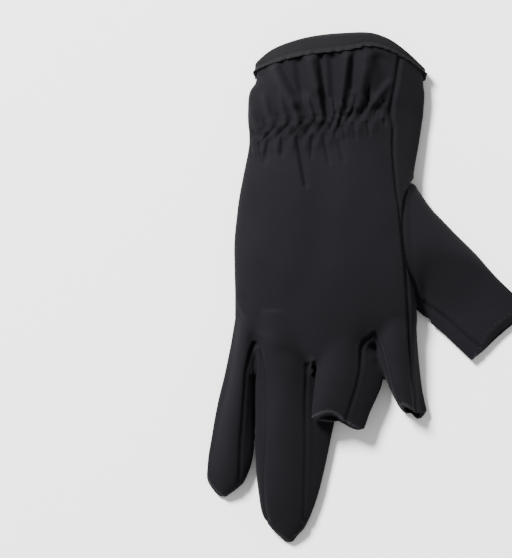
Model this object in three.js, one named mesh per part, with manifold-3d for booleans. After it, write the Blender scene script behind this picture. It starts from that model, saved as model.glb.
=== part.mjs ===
// A right-hand fishing glove of soft foam cloth, lying palm down. The thumb, index and middle fingers
// are cut short and open, the ring and little fingers are full length, and the back of the wrist is
// gathered. Millimetres, +Z up, fingers towards -Y, thumb towards +X.
//
// Every part of the hand is a soft six-sided tube that follows a table of cross-sections. The outer
// tubes less the same tubes set in by the cloth give the hollow skin, and the seams cut the skin into
// the panels that the glove is sewn from.
import * as THREE from 'three';
import { mergeVertices } from 'three/addons/utils/BufferGeometryUtils.js';
import Module from 'manifold-3d';

const wasm = await Module();
wasm.setup();

// Driving sizes
const cloth = 2.0; // one layer of foam cloth
const seamGap = 0.3; // slit left along every seam
const handWidth = 90; // across the knuckles, lying flat
const handLength = 160; // cuff rim to the crotches of the fingers
const handRise = 25; // top of the back above the table
const seamRise = 3.5; // height of the seam that closes the back and the finger side strips on the palm
const outerSeamRise = 12; // the same seam from the middle finger outwards, which lies over the ring
const middleStripRise = 8.5; // and under the side strip of the middle finger
const thumbSlant = [3, 11]; // the thumb's base seam leans over between these heights
const foldRise = 1.5; // height of the tallest gather at the wrist
const foldTail = 8; // length over which a gather dies away
const gatherFade = 0.07; // the gathers start this share of the hand's width in from its sides
const rimFade = 0.05; // and this share of its length below the binding
const stripUnderMiddle = 3; // the ring finger's side strip runs in under the middle finger by this much
const stripBesideMiddle = 0.6; // and above that it stops this far outside the middle finger
const stripPastRing = 4; // the strip's outline stays this far outside the ring finger
const flatWithin = 0.05; // anything this near the table lies flat on it
const smoothWithin = 0.03; // faces this nearly flat are joined
const bindingCloth = 0.8; // wall of the tape
const bindingWidth = 6.4; // tape from the rim down
const bindingClearance = 0.45; // tape to the faces of the cloth that it wraps
const foldClearance = 0.9; // and to its edge
const cuffReach = 6; // the hollow is cut this far out through the rim of the cuff
const tipReach = 5; // and through the open ends of the thumb and fingers
const rimDepth = 1.6 * cloth; // an open end's square face runs this far in from the outer skin
const hollowGathers = 0.5; // the gathers show this much on the inside
const clothLook = { color: 0x29292d, roughness: 0.9, metalness: 0 };
const tapeLook = { color: 0x2c2d2f, roughness: 0.95, metalness: 0 };

// Tubes. root is across and along the hand, in shares of its width and length; swing is the angle in
// degrees from straight down. shoulderLeft and shoulderRight are the heights of the upper corners and
// edgeLeft and edgeRight those of the widest points, in shares of the section's rise. insetLeft and
// insetRight say how far the flat underside stops short of the widest points, and every other width is
// a share of the tube's width too. soft is the rounding of the corners in millimetres.
// A line bends the rings of a tube: at the shares between start and end each ring is shifted along the
// tube, and the shift fades out to nothing at from and to. Its rows are the place across the tube, the
// shift on top and the shift underneath.
const sectionColumns = ['along', 'left', 'cornerLeft', 'cornerRight', 'right', 'rise', 'base'];
const hand = {
  root: [0, 0], swing: 0, length: handLength, width: handWidth, rise: handRise, soft: 2.2,
  shoulderLeft: 0.68, shoulderRight: 0.8, edgeLeft: 0.3, edgeRight: 0.3,
  insetLeft: 0.06, insetRight: 0.05,
  sections: [
    [0.0, -0.378, -0.29, 0.42, 0.533, 0.84, 0.05],
    [0.05, -0.388, -0.3, 0.412, 0.54, 0.84, 0.05],
    [0.1, -0.42, -0.33, 0.395, 0.545, 0.86, 0.01],
    [0.19, -0.432, -0.35, 0.372, 0.54, 0.86, 0],
    [0.26, -0.433, -0.35, 0.358, 0.536, 0.82, 0],
    [0.34, -0.425, -0.34, 0.371, 0.518, 0.82, 0],
    [0.45, -0.46, -0.38, 0.384, 0.482, 0.92, 0],
    [0.55, -0.49, -0.4, 0.405, 0.454, 0.98, 0],
    [0.65, -0.508, -0.42, 0.424, 0.452, 1.0, 0],
    [0.75, -0.51, -0.42, 0.438, 0.465, 1.0, 0],
    [0.86, -0.506, -0.42, 0.452, 0.49, 0.93, 0],
    [0.93, -0.505, -0.42, 0.457, 0.5, 0.82, 0],
    [0.97, -0.505, -0.41, 0.455, 0.5, 0.68, 0],
    [1.0, -0.5, -0.4, 0.44, 0.49, 0.46, 0],
  ],
  lines: [
    {
      from: -1, start: -1, end: 0.05, to: 0.28,
      rows: [
        [-0.39, 0.088, 0.115], [-0.35, 0.07, 0.1], [-0.3, 0.052, 0.085], [-0.2, 0.035, 0.068],
        [-0.07, 0.022, 0.058], [0.13, 0.015, 0.055], [0.25, 0.013, 0.058], [0.33, 0.024, 0.066],
        [0.4, 0.046, 0.078], [0.47, 0.078, 0.095], [0.54, 0.12, 0.12],
      ],
    },
    {
      from: 0.05, start: 0.28, end: 0.34, to: 0.5,
      rows: [
        [-0.42, 0.035, 0], [-0.27, 0.015, 0], [-0.1, 0.006, 0], [0.03, -0.006, 0], [0.1, -0.03, 0],
        [0.16, -0.05, 0], [0.23, -0.062, 0], [0.3, -0.058, 0], [0.38, -0.04, 0], [0.54, 0, 0],
      ],
    },
    {
      from: 0.75, start: 0.97, end: 2, to: 3,
      rows: [
        [-0.51, -0.08, -0.08], [-0.389, -0.012, -0.012], [-0.2, 0.01, 0.01], [-0.06, 0.045, 0.045],
        [0.1, 0.02, 0.02], [0.244, -0.03, -0.03], [0.5, -0.06, -0.06],
      ],
    },
  ],
};
const pinky = {
  root: [-0.433, 0.869], swing: -7.6, length: 93.5, width: 24, rise: 15, soft: 1.2,
  shoulderLeft: 0.74, shoulderRight: 0.88, edgeLeft: 0.34, edgeRight: 0.32,
  insetLeft: 0.1, insetRight: 0.1,
  sections: [
    [0.0, -0.25, -0.12, 0.13, 0.27, 0.86, 0],
    [0.1, -0.256, -0.12, 0.13, 0.25, 0.98, 0],
    [0.2, -0.268, -0.12, 0.125, 0.245, 1.0, 0],
    [0.32, -0.32, -0.15, 0.13, 0.295, 1.0, 0],
    [0.48, -0.375, -0.18, 0.17, 0.375, 0.98, 0],
    [0.6, -0.4, -0.21, 0.2, 0.435, 0.95, 0],
    [0.7, -0.412, -0.23, 0.22, 0.485, 0.9, 0],
    [0.79, -0.436, -0.26, 0.255, 0.5, 0.84, 0],
    [0.86, -0.435, -0.28, 0.28, 0.45, 0.74, 0],
    [0.92, -0.4, -0.26, 0.27, 0.37, 0.6, 0],
    [0.96, -0.29, -0.2, 0.16, 0.23, 0.46, 0],
    [1.0, -0.11, -0.07, 0.02, 0.06, 0.26, 0],
  ],
};
const ring = {
  root: [-0.2, 0.869], swing: 0, length: 115.5, width: 40, rise: 18, soft: 1.4,
  shoulderLeft: 0.86, shoulderRight: 0.76, edgeLeft: 0.3, edgeRight: 0.22,
  insetLeft: 0.05, insetRight: 0.07,
  sections: [
    [0.0, -0.44, -0.37, 0.24, 0.36, 1.16, 0],
    [0.12, -0.432, -0.36, 0.235, 0.36, 1.13, 0],
    [0.2, -0.425, -0.338, 0.22, 0.38, 1.07, 0],
    [0.3, -0.425, -0.31, 0.208, 0.5, 1.0, 0],
    [0.386, -0.425, -0.303, 0.196, 0.575, 0.97, 0],
    [0.45, -0.425, -0.305, 0.197, 0.582, 0.96, 0],
    [0.56, -0.425, -0.312, 0.198, 0.52, 0.93, 0],
    [0.687, -0.422, -0.335, 0.188, 0.45, 0.86, 0],
    [0.8, -0.386, -0.33, 0.18, 0.356, 0.74, 0],
    [0.88, -0.345, -0.3, 0.17, 0.273, 0.6, 0],
    [0.94, -0.25, -0.21, 0.13, 0.185, 0.46, 0],
    [0.975, -0.14, -0.11, 0.06, 0.09, 0.34, 0],
    [1.0, -0.06, -0.045, 0.02, 0.035, 0.22, 0],
  ],
};
const middle = {
  root: [0.111, 0.869], swing: -6, length: 58, width: 36, rise: 22, soft: 1.2,
  shoulderLeft: 0.88, shoulderRight: 0.82, edgeLeft: 0.62, edgeRight: 0.3,
  insetLeft: 0.3, insetRight: 0.06,
  sections: [
    [0.0, -0.36, -0.3, 0.22, 0.3, 0.94, 0],
    [0.3, -0.335, -0.28, 0.26, 0.4, 0.96, 0.04],
    [0.45, -0.33, -0.275, 0.28, 0.52, 0.97, 0.12],
    [0.6, -0.325, -0.28, 0.262, 0.608, 0.97, 0.18],
    [0.7, -0.328, -0.285, 0.233, 0.565, 0.96, 0.22],
    [0.85, -0.333, -0.29, 0.18, 0.48, 0.94, 0.25],
    [1.0, -0.32, -0.285, 0.13, 0.42, 0.9, 0.26],
  ],
  lines: [
    {
      from: 0.5, start: 1, end: 2, to: 3,
      rows: [
        [-0.33, -0.07, -0.03], [-0.24, -0.1, -0.02], [-0.145, -0.124, -0.03], [-0.05, -0.13, -0.04],
        [0.04, -0.11, -0.04], [0.144, -0.068, -0.03], [0.25, -0.05, 0.0], [0.36, -0.02, 0.01],
        [0.43, -0.015, 0.0],
      ],
    },
  ],
};
const index = {
  root: [0.361, 0.869], swing: 10, length: 52, width: 24, rise: 19, soft: 1.2,
  shoulderLeft: 0.86, shoulderRight: 0.84, edgeLeft: 0.36, edgeRight: 0.34,
  insetLeft: 0.08, insetRight: 0.1,
  sections: [
    [0.0, -0.47, -0.36, 0.34, 0.49, 0.94, 0],
    [0.15, -0.485, -0.37, 0.305, 0.46, 0.98, 0],
    [0.3, -0.45, -0.36, 0.257, 0.423, 0.99, 0],
    [0.45, -0.4, -0.33, 0.209, 0.398, 0.98, 0],
    [0.6, -0.375, -0.31, 0.179, 0.378, 0.95, 0],
    [0.75, -0.338, -0.28, 0.155, 0.366, 0.92, 0.02],
    [0.87, -0.28, -0.23, 0.138, 0.37, 0.88, 0.04],
    [1.0, -0.22, -0.18, 0.11, 0.385, 0.84, 0.06],
  ],
  lines: [
    {
      from: 0.5, start: 1, end: 2, to: 3,
      rows: [
        [-0.23, -0.12, -0.11], [-0.15, -0.11, -0.03], [-0.07, -0.1, 0.0], [0.04, -0.05, 0.0],
        [0.12, -0.03, 0.06], [0.2, -0.015, 0.078], [0.3, 0.01, 0.055], [0.39, 0.01, 0.01],
      ],
    },
  ],
};
const thumb = {
  root: [0.3, 0.559], swing: 45, length: 87, width: 40, rise: 16, soft: 1.5,
  shoulderLeft: 0.66, shoulderRight: 0.92, edgeLeft: 0.3, edgeRight: 0.36,
  insetLeft: 0.06, insetRight: 0.08,
  sections: [
    [0.0, -0.42, -0.32, 0.22, 0.42, 0.94, 0],
    [0.1, -0.48, -0.36, 0.28, 0.49, 0.98, 0],
    [0.2, -0.52, -0.4, 0.28, 0.478, 1.0, 0],
    [0.35, -0.53, -0.41, 0.27, 0.472, 1.0, 0],
    [0.5, -0.535, -0.41, 0.26, 0.472, 0.98, 0],
    [0.6, -0.535, -0.403, 0.25, 0.467, 0.96, 0],
    [0.7, -0.531, -0.373, 0.24, 0.457, 0.93, 0],
    [0.8, -0.519, -0.358, 0.23, 0.452, 0.9, 0],
    [0.9, -0.512, -0.339, 0.22, 0.46, 0.87, 0],
    [1.0, -0.508, -0.33, 0.22, 0.475, 0.84, 0],
  ],
  lines: [
    {
      from: 0.6, start: 1, end: 2, to: 3,
      rows: [
        [-0.51, -0.028, -0.022], [-0.33, -0.045, -0.012], [-0.19, -0.06, -0.012], [0.07, -0.057, -0.005],
        [0.26, -0.053, 0.005], [0.48, -0.045, 0.016],
      ],
    },
  ],
};
const fingers = [pinky, ring, middle, index];

// Gathers at the wrist, above and below the elastic: from and to are across and along the hand, width
// is a share of the hand's width and height a share of foldRise. A negative height is a crease.
const foldColumns = ['fromAcross', 'fromAlong', 'toAcross', 'toAlong', 'width', 'height'];
const folds = [
  [-0.28, 0.1, -0.17, 0.28, 0.03, 1.0],
  [-0.1, 0.08, -0.04, 0.28, 0.03, 1.0],
  [-0.03, 0.1, 0.0, 0.26, 0.026, -1.0],
  [0.11, 0.07, 0.06, 0.25, 0.028, 1.0],
  [0.15, 0.1, 0.1, 0.22, 0.026, -0.7],
  [0.24, 0.07, 0.17, 0.22, 0.04, 0.9],
  [0.33, 0.15, 0.26, 0.2, 0.03, 0.7],
  [-0.15, 0.37, -0.12, 0.47, 0.026, -1.0],
  [-0.01, 0.35, 0.0, 0.42, 0.026, -0.8],
  [-0.33, 0.36, -0.34, 0.42, 0.026, -0.5],
  [-0.24, 0.36, -0.24, 0.42, 0.026, -0.5],
];

// The elastic sewn under the back of the wrist draws up a band of slanted puckers.
const elasticAt = 0.31; // share of the hand's length
const puckers = 10; // across the back
const puckerReach = 0.026; // half the height of the band, share of the hand's length
const puckerSlant = 0.5; // sideways run over the band's height, in puckers
const puckerHeight = 0.8; // share of foldRise

// The thumb's base seam, from the wrist round to the index finger: across and along the hand on the
// back, then on the palm, where it bulges inwards.
const thumbSeam = [
  [0.53, 0.466, 0.5, 0.46],
  [0.478, 0.474, 0.4, 0.48],
  [0.445, 0.497, 0.31, 0.53],
  [0.428, 0.538, 0.26, 0.59],
  [0.423, 0.59, 0.24, 0.65],
  [0.427, 0.65, 0.245, 0.71],
  [0.441, 0.705, 0.28, 0.765],
  [0.462, 0.75, 0.35, 0.81],
  [0.492, 0.79, 0.44, 0.833],
  [0.53, 0.84, 0.52, 0.85],
];

// The seam that joins back and palm on the thumb side, across and along the hand, to the index tip.
const backSeam = [
  [0.422, 0.02], [0.4, 0.1], [0.383, 0.163], [0.367, 0.209], [0.357, 0.241], [0.361, 0.272],
  [0.372, 0.303], [0.369, 0.366], [0.383, 0.469], [0.403, 0.556], [0.42, 0.647], [0.433, 0.716],
  [0.445, 0.8], [0.455, 0.897],
  [0.461, 1.0], [0.472, 1.084], [0.485, 1.14], [0.49, 1.25],
];

// Value of a table's column at t: a smooth curve through the rows, whose first column is the place.
function smoothColumn(rows, column, t) {
  const last = rows.length - 1;
  if (t <= rows[0][0]) return rows[0][column];
  if (t >= rows[last][0]) return rows[last][column];
  const i = rows.findIndex((row, k) => k < last && t < rows[k + 1][0]);
  const slope = (a, b) => (rows[b][column] - rows[a][column]) / (rows[b][0] - rows[a][0]);
  const tangent = (k) => slope(Math.max(k - 1, 0), Math.min(k + 1, last));
  const span = rows[i + 1][0] - rows[i][0];
  const u = (t - rows[i][0]) / span;
  const rest = 1 - u;
  return (
    rows[i][column] * (1 + 2 * u) * rest * rest +
    tangent(i) * span * u * rest * rest +
    rows[i + 1][column] * u * u * (3 - 2 * u) -
    tangent(i + 1) * span * rest * u * u
  );
}

function clamp(value, low, high) {
  return Math.min(Math.max(value, low), high);
}

// An object with one entry for each column of a table.
function named(columns, valueOf) {
  return Object.fromEntries(columns.map((name, k) => [name, valueOf(k)]));
}

// A tube's cross-section at a share of its length, in millimetres.
function sectionAt(tube, along) {
  const row = named(sectionColumns, (k) => smoothColumn(tube.sections, k, along));
  const base = Math.max(row.base, 0) * tube.rise;
  const rise = row.rise * tube.rise;
  const heightOf = (share) => base + share * (rise - base);
  const span = (row.right - row.left) * tube.width;
  return {
    base,
    rise,
    left: row.left * tube.width,
    right: row.right * tube.width,
    cornerLeft: row.cornerLeft * tube.width,
    cornerRight: row.cornerRight * tube.width,
    shoulderLeft: heightOf(tube.shoulderLeft),
    shoulderRight: heightOf(tube.shoulderRight),
    edgeLeft: heightOf(tube.edgeLeft),
    edgeRight: heightOf(tube.edgeRight),
    bottomLeft: row.left * tube.width + Math.min(tube.insetLeft * tube.width, 0.4 * span),
    bottomRight: row.right * tube.width - Math.min(tube.insetRight * tube.width, 0.4 * span),
    centre: ((row.left + row.right) / 2) * tube.width,
    middle: base + 0.45 * (rise - base),
    soft: Math.min(tube.soft, 0.1 * (rise - base)),
  };
}

// Distance outside a section's outline, roughly in millimetres, negative inside it.
function sectionField(s, x, z) {
  const outside = ([ax, az], [bx, bz]) =>
    ((z - az) * (bx - ax) - (x - ax) * (bz - az)) / Math.hypot(bx - ax, bz - az);
  const mid = (s.cornerLeft + s.cornerRight) / 2;
  const half = (s.cornerRight - s.cornerLeft) / 2;
  const u = clamp((x - mid) / half, -1.15, 1.15);
  const chord = (s.shoulderLeft + s.shoulderRight + (s.shoulderRight - s.shoulderLeft) * u) / 2;
  const crown = s.rise - (s.shoulderLeft + s.shoulderRight) / 2;
  const faces = [
    z - chord - crown * (1 - u * u),
    outside([s.left, s.edgeLeft], [s.cornerLeft, s.shoulderLeft]),
    outside([s.cornerRight, s.shoulderRight], [s.right, s.edgeRight]),
    outside([s.right, s.edgeRight], [s.bottomRight, s.base]),
    s.base - z,
    outside([s.bottomLeft, s.base], [s.left, s.edgeLeft]),
  ];
  return s.soft * Math.log(faces.reduce((sum, d) => sum + Math.exp(d / s.soft), 0));
}

// Where a ray from the section's middle towards aim leaves it, inset millimetres inside.
function sectionPoint(s, [aimX, aimZ], inset) {
  const reachX = ((s.right - s.left) / 2) * aimX;
  const reachZ = ((s.rise - s.base) / 2) * aimZ;
  let low = 0;
  let high = 3;
  for (let step = 0; step < 30; step++) {
    const at = (low + high) / 2;
    if (sectionField(s, s.centre + reachX * at, s.middle + reachZ * at) < -inset) low = at;
    else high = at;
  }
  return [s.centre + reachX * low, s.middle + reachZ * low];
}

// The points round a section, stretched so that its rounded outline still has its full width and rise.
function sectionRing(s, aims, inset) {
  const outline = aimsRound(16, 8, 8).map((aim) => sectionPoint(s, aim, 0));
  const [xs, zs] = [outline.map(([x]) => x), outline.map(([, z]) => z)];
  const stretch = (value, from, to, low, high) => low + ((value - from) / (to - from)) * (high - low);
  const [minX, maxX, minZ, maxZ] = [Math.min(...xs), Math.max(...xs), Math.min(...zs), Math.max(...zs)];
  return aims.map((aim) => {
    const [x, z] = sectionPoint(s, aim, inset);
    const height = stretch(z, minZ, maxZ, s.base, s.rise);
    const floor = s.base + inset;
    return [stretch(x, minX, maxX, s.left, s.right), height < floor + flatWithin ? floor : height];
  });
}

// Directions round a section: evenly spaced across its top and underside, with a few up each side.
function aimsRound(top, side, bottom) {
  const aims = [];
  for (let k = 0; k < top; k++) aims.push([-1 + (2 * k) / top, 1]);
  for (let k = 0; k < side; k++) aims.push([1, 1 - (2 * k) / side]);
  for (let k = 0; k < bottom; k++) aims.push([1 - (2 * k) / bottom, -1]);
  for (let k = 0; k < side; k++) aims.push([-1, -1 + (2 * k) / side]);
  return aims;
}

// Height of the gathers over the back of the hand. aimX runs from -1 to 1 over the back, and share is
// the ring's own, before the lines bend it.
function gatherRise(across, along, share, aimX) {
  let rise = 0;
  for (const row of folds) {
    const fold = named(foldColumns, (k) => row[k]);
    const runX = (fold.toAcross - fold.fromAcross) * handWidth;
    const runY = (fold.toAlong - fold.fromAlong) * handLength;
    const dx = (across - fold.fromAcross) * handWidth;
    const dy = (along - fold.fromAlong) * handLength;
    const length = Math.hypot(runX, runY);
    const down = (dx * runX + dy * runY) / length;
    const off = (dx * runY - dy * runX) / length / (fold.width * handWidth);
    const past = Math.max(-down, down - length, 0) / foldTail;
    rise += fold.height * Math.exp(-off * off - past * past);
  }
  const offLine = (share - elasticAt) / puckerReach;
  const phase = (aimX * puckers) / 2 - (puckerSlant * offLine) / 2;
  rise += puckerHeight * Math.cos(2 * Math.PI * phase) * Math.exp(-offLine * offLine);
  const fade = (distance, over) => clamp(distance / over, 0, 1);
  const [left, right] = [hand.sections[3][1], hand.sections[3][3]];
  const sides = fade(across - left, gatherFade) * fade(right - across, gatherFade);
  return rise * foldRise * sides * fade(share - bindingWidth / handLength, rimFade);
}

// How far the tube's lines shift a ring along it, at a place across it and between its top and underside.
function lineShift(tube, share, across, low) {
  return (tube.lines ?? []).reduce((sum, line) => {
    const up = clamp((share - line.from) / (line.start - line.from || 1), 0, 1);
    const down = clamp((line.to - share) / (line.to - line.end), 0, 1);
    const shift = smoothColumn(line.rows, 1, across) * (1 - low) + smoothColumn(line.rows, 2, across) * low;
    return sum + shift * Math.min(up, down);
  }, 0);
}

// A point in the tube's own x (across), down (along) and z, in the object's frame.
function placed(tube, x, down, z) {
  const turn = THREE.MathUtils.degToRad(tube.swing);
  return [
    tube.root[0] * handWidth + x * Math.cos(turn) + down * Math.sin(turn),
    -tube.root[1] * handLength + x * Math.sin(turn) - down * Math.cos(turn),
    z,
  ];
}

// A ring of a tube at one share, set in by inset from the outer skin and moved along it by reach.
function tubeRing(tube, aims, share, { inset = 0, reach = 0, gathers = 1 } = {}) {
  const s = sectionAt(tube, share);
  const skinRing = sectionRing(s, aims, 0);
  return sectionRing(s, aims, inset).map(([x, z], n) => {
    const across = skinRing[n][0] / tube.width;
    const low = 1 - (skinRing[n][1] - s.base) / (s.rise - s.base);
    const along = share + lineShift(tube, share, across, low);
    const onBack = tube === hand && aims[n][1] > 0.99;
    const lift = onBack ? gathers * gatherRise(across, along, share, aims[n][0]) : 0;
    return placed(tube, x, along * tube.length + reach, z + lift);
  });
}

// A solid tube through rings at the given shares. startReach and endReach lengthen it, in millimetres.
// An end with a rim has a face square to the cloth, deep enough for the hollow to be cut through it.
function tubeSolid(tube, aims, shares, { inset = 0, gathers, startReach = 0, endReach = 0, rim = '' } = {}) {
  const last = shares.length - 1;
  const rings = shares.map((share, k) => {
    const reach = (k === last ? endReach : 0) - (k === 0 ? startReach : 0);
    return tubeRing(tube, aims, share, { inset, gathers, reach });
  });
  const deep = { inset: inset + rimDepth, gathers };
  if (rim === 'start') rings.unshift(tubeRing(tube, aims, shares[0], deep));
  if (rim === 'end') rings.push(tubeRing(tube, aims, shares[last], deep));
  return loftSolid(rings);
}

// A closed solid through rings of points, each with the same count, capped from its middle. A looped
// one joins its last ring to its first instead.
function loftSolid(rings, looped = false) {
  const round = rings[0].length;
  const count = rings.length;
  const points = rings.flat();
  const triangles = [];
  for (let i = 0; i < (looped ? count : count - 1); i++)
    for (let k = 0; k < round; k++) {
      const next = (k + 1) % round;
      const [here, there] = [i * round, ((i + 1) % count) * round];
      triangles.push(here + k, there + k, here + next, here + next, there + k, there + next);
    }
  if (!looped) {
    const middleOf = (ring) => [0, 1, 2].map((axis) => ring.reduce((sum, p) => sum + p[axis], 0) / round);
    const final = (count - 1) * round;
    const [startMiddle, endMiddle] = [points.length, points.length + 1];
    points.push(middleOf(rings[0]), middleOf(rings.at(-1)));
    for (let k = 0; k < round; k++) {
      const next = (k + 1) % round;
      triangles.push(startMiddle, k, next, endMiddle, final + next, final + k);
    }
  }
  return solidFrom(points.flat(), triangles);
}

function solidFrom(positions, triangles) {
  const geometry = new THREE.BufferGeometry();
  geometry.setAttribute('position', new THREE.BufferAttribute(new Float32Array(positions), 3));
  geometry.setIndex(triangles);
  const merged = mergeVertices(geometry, 1e-4);
  return new wasm.Manifold(
    new wasm.Mesh({
      numProp: 3,
      vertProperties: merged.attributes.position.array,
      triVerts: new Uint32Array(merged.index.array),
    }),
  );
}

// A solid through levels, each an outline of [x, y] points and its height. All have the same count.
function stack(levels) {
  const flat = (points) => points.map(([x, y]) => new THREE.Vector2(x, y));
  const turned = THREE.ShapeUtils.area(flat(levels[0][0])) < 0;
  const outlines = levels.map(([points]) => (turned ? [...points].reverse() : points));
  const count = outlines[0].length;
  const top = (levels.length - 1) * count;
  const positions = outlines.flatMap((points, k) => points.flatMap(([x, y]) => [x, y, levels[k][1]]));
  const triangles = [];
  for (const [a, b, c] of THREE.ShapeUtils.triangulateShape(flat(outlines[0]), [])) triangles.push(c, b, a);
  for (const [a, b, c] of THREE.ShapeUtils.triangulateShape(flat(outlines.at(-1)), []))
    triangles.push(a + top, b + top, c + top);
  for (let level = 0; level < top; level += count)
    for (let k = 0; k < count; k++) {
      const [a, b] = [level + k, level + ((k + 1) % count)];
      triangles.push(a, b, a + count, b, b + count, a + count);
    }
  return solidFrom(positions, triangles);
}

// The same levels grown by a distance all round, down and up.
function grownStack(levels, distance) {
  const growth = levels.map((level, k) => (k === 0 ? -distance : k === levels.length - 1 ? distance : 0));
  return stack(levels.map(([outline, z], k) => [grown(outline, distance), z + growth[k]]));
}

// An outline moved outwards by a distance, corner by corner.
function grown(outline, distance) {
  const flat = outline.map(([x, y]) => new THREE.Vector2(x, y));
  const side = Math.sign(THREE.ShapeUtils.area(flat));
  return flat.map((point, k) => {
    const before = point.clone().sub(flat.at(k - 1)).normalize();
    const after = flat[(k + 1) % flat.length].clone().sub(point).normalize();
    const along = before.clone().add(after).normalize();
    const spread = distance / Math.max(0.5, Math.abs(along.dot(after)));
    return [point.x + along.y * side * spread, point.y - along.x * side * spread];
  });
}

// A point of the hand's plan, from shares across and along it.
function onHand([across, along]) {
  return [across * handWidth, -along * handLength];
}

// A stretch of a tube's corner line or edge in plan, as a list of points.
function tubeLine(tube, name, from, to, steps) {
  return rowsAt(steps, from, to).map((along) => {
    const x = sectionAt(tube, along)[name];
    return placed(tube, x, along * tube.length, 0).slice(0, 2);
  });
}

// Evenly spaced shares from one to another.
function rowsAt(count, from = 0, to = 1) {
  return Array.from({ length: count + 1 }, (_, k) => from + ((to - from) * k) / count);
}

// Outer skin and hollow
const bindingShare = bindingWidth / handLength;
const bandShares = [-1, -0.5, 0, 0.5, 1].map((step) => elasticAt + step * puckerReach);
const handShares = [
  0, bindingShare, 0.09, 0.14, 0.19, 0.24, ...bandShares, 0.37, 0.41, 0.46,
  0.54, 0.64, 0.74, 0.83, 0.9, 0.95, 0.98, 1,
];
const hollowShares = [0, bindingShare, 0.12, 0.2, 0.27, 0.34, 0.41, 0.5, 0.62, 0.76, 0.88, 0.95, 1];
const handAims = aimsRound(40, 4, 6);
const hollowAims = aimsRound(20, 4, 6);
const closedShares = [0, 0.15, 0.3, 0.45, 0.6, 0.72, 0.82, 0.89, 0.945, 0.98, 1];
const closedHollowShares = [0, 0.2, 0.4, 0.6, 0.76, 0.88, 0.95];
const isOpen = (tube) => Boolean(tube.lines);
const outerOf = (tube) =>
  isOpen(tube)
    ? tubeSolid(tube, aimsRound(9, 3, 5), rowsAt(7), { rim: 'end' })
    : tubeSolid(tube, aimsRound(9, 3, 5), closedShares);
const hollowOf = (tube) =>
  tubeSolid(tube, aimsRound(7, 2, 4), isOpen(tube) ? rowsAt(5) : closedHollowShares, {
    inset: cloth,
    endReach: isOpen(tube) ? tipReach : 0,
  });
const handOuter = tubeSolid(hand, handAims, handShares, { rim: 'start' });
const handHollow = tubeSolid(hand, hollowAims, hollowShares, {
  inset: cloth, startReach: cuffReach, endReach: -cloth, gathers: hollowGathers,
});
const thumbOuter = tubeSolid(thumb, aimsRound(14, 3, 6), rowsAt(8), { rim: 'end' });
const thumbHollow = tubeSolid(thumb, aimsRound(10, 3, 5), rowsAt(6), { inset: cloth, endReach: tipReach });
const join = (solids) => solids.reduce((all, solid) => all.add(solid));
const skin = join([handOuter, thumbOuter, ...fingers.map(outerOf)]).subtract(
  join([handHollow, thumbHollow, ...fingers.map(hollowOf)]),
);

// Where the seams run. Each region is a list of stacks.
const above = 40; // clear of the highest point
const below = -2; // clear of the table
const plan = (points) => points.map(onHand);
const thumbReach = plan([[0.57, 0.9], [0.92, 1.3], [1.4, 1.0], [1.4, 0.3], [0.6, 0.3]]);
const thumbBack = [...plan(thumbSeam.map((row) => row.slice(0, 2))), ...thumbReach];
const thumbPalm = [...plan(thumbSeam.map((row) => row.slice(2))), ...thumbReach];
const [slantFoot, slantTop] = thumbSlant;
const thumbRegion = [[[thumbPalm, below], [thumbPalm, slantFoot], [thumbBack, slantTop], [thumbBack, above]]];

const shifted = (points, distance) => points.map(([x, y]) => [x + distance, y]);
const pinkyRingOutline = [
  ...plan([[-0.42, 1.0], [-0.405, 0.98], [-0.389, 0.971], [-0.373, 0.98], [-0.36, 1.0]]),
  ...tubeLine(ring, 'cornerLeft', 0.26, 0.9, 7),
  ...plan([[-0.356, 1.541], [-0.4, 1.459], [-0.439, 1.459]]),
  ...tubeLine(pinky, 'cornerRight', 0.92, 0.32, 5),
];
const pinkyRingRegion = [[[pinkyRingOutline, seamRise], [pinkyRingOutline, above]]];

const ringCorner = tubeLine(ring, 'cornerRight', 0.9, 0.3, 6);
const underMiddle = [
  ...plan([[-0.105, 1.0], [-0.04, 1.0]]),
  ...shifted(tubeLine(middle, 'bottomLeft', 0.5, 1.08, 4), stripUnderMiddle),
  ...shifted(tubeLine(ring, 'right', 0.6, 0.93, 3), stripPastRing),
  ...ringCorner,
];
const besideMiddle = [
  ...plan([[-0.105, 1.04], [-0.09, 1.028]]),
  ...shifted(tubeLine(middle, 'left', 0.5, 1.08, 4), -stripBesideMiddle),
  ...shifted(tubeLine(ring, 'right', 0.6, 0.93, 3), stripPastRing),
  ...ringCorner,
];
const ringMiddleRegion = [
  [[underMiddle, seamRise], [underMiddle, outerSeamRise - seamGap]],
  [[besideMiddle, seamRise], [besideMiddle, above]],
];

const middleIndexSplit = plan([[0.245, 0.95], [0.27, 1.0], [0.33, 1.1], [0.33, 1.3]]);
const middleSide = [
  ...middleIndexSplit,
  ...tubeLine(middle, 'cornerRight', 1.1, 0.3, 5),
  ...plan([[0.21, 0.962]]),
];
const indexSide = [
  ...middleIndexSplit,
  ...tubeLine(index, 'cornerLeft', 1.15, 0.28, 6),
  ...plan([[0.262, 0.94]]),
];
const middleIndexRegion = [
  [[middleSide, middleStripRise], [middleSide, above]],
  [[indexSide, seamRise], [indexSide, above]],
];

const backOutline = [
  ...plan([[-0.8, -0.1], [0.44, -0.1]]),
  ...plan(backSeam),
  ...plan([[0.49, 1.8], [-0.8, 1.8]]),
];
const littleSide = plan([[-0.8, -0.1], [-0.1, -0.1], [-0.1, 1.8], [-0.8, 1.8]]);
const backRegion = [
  [[backOutline, outerSeamRise], [backOutline, above]],
  [[littleSide, seamRise], [littleSide, above]],
];

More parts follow.
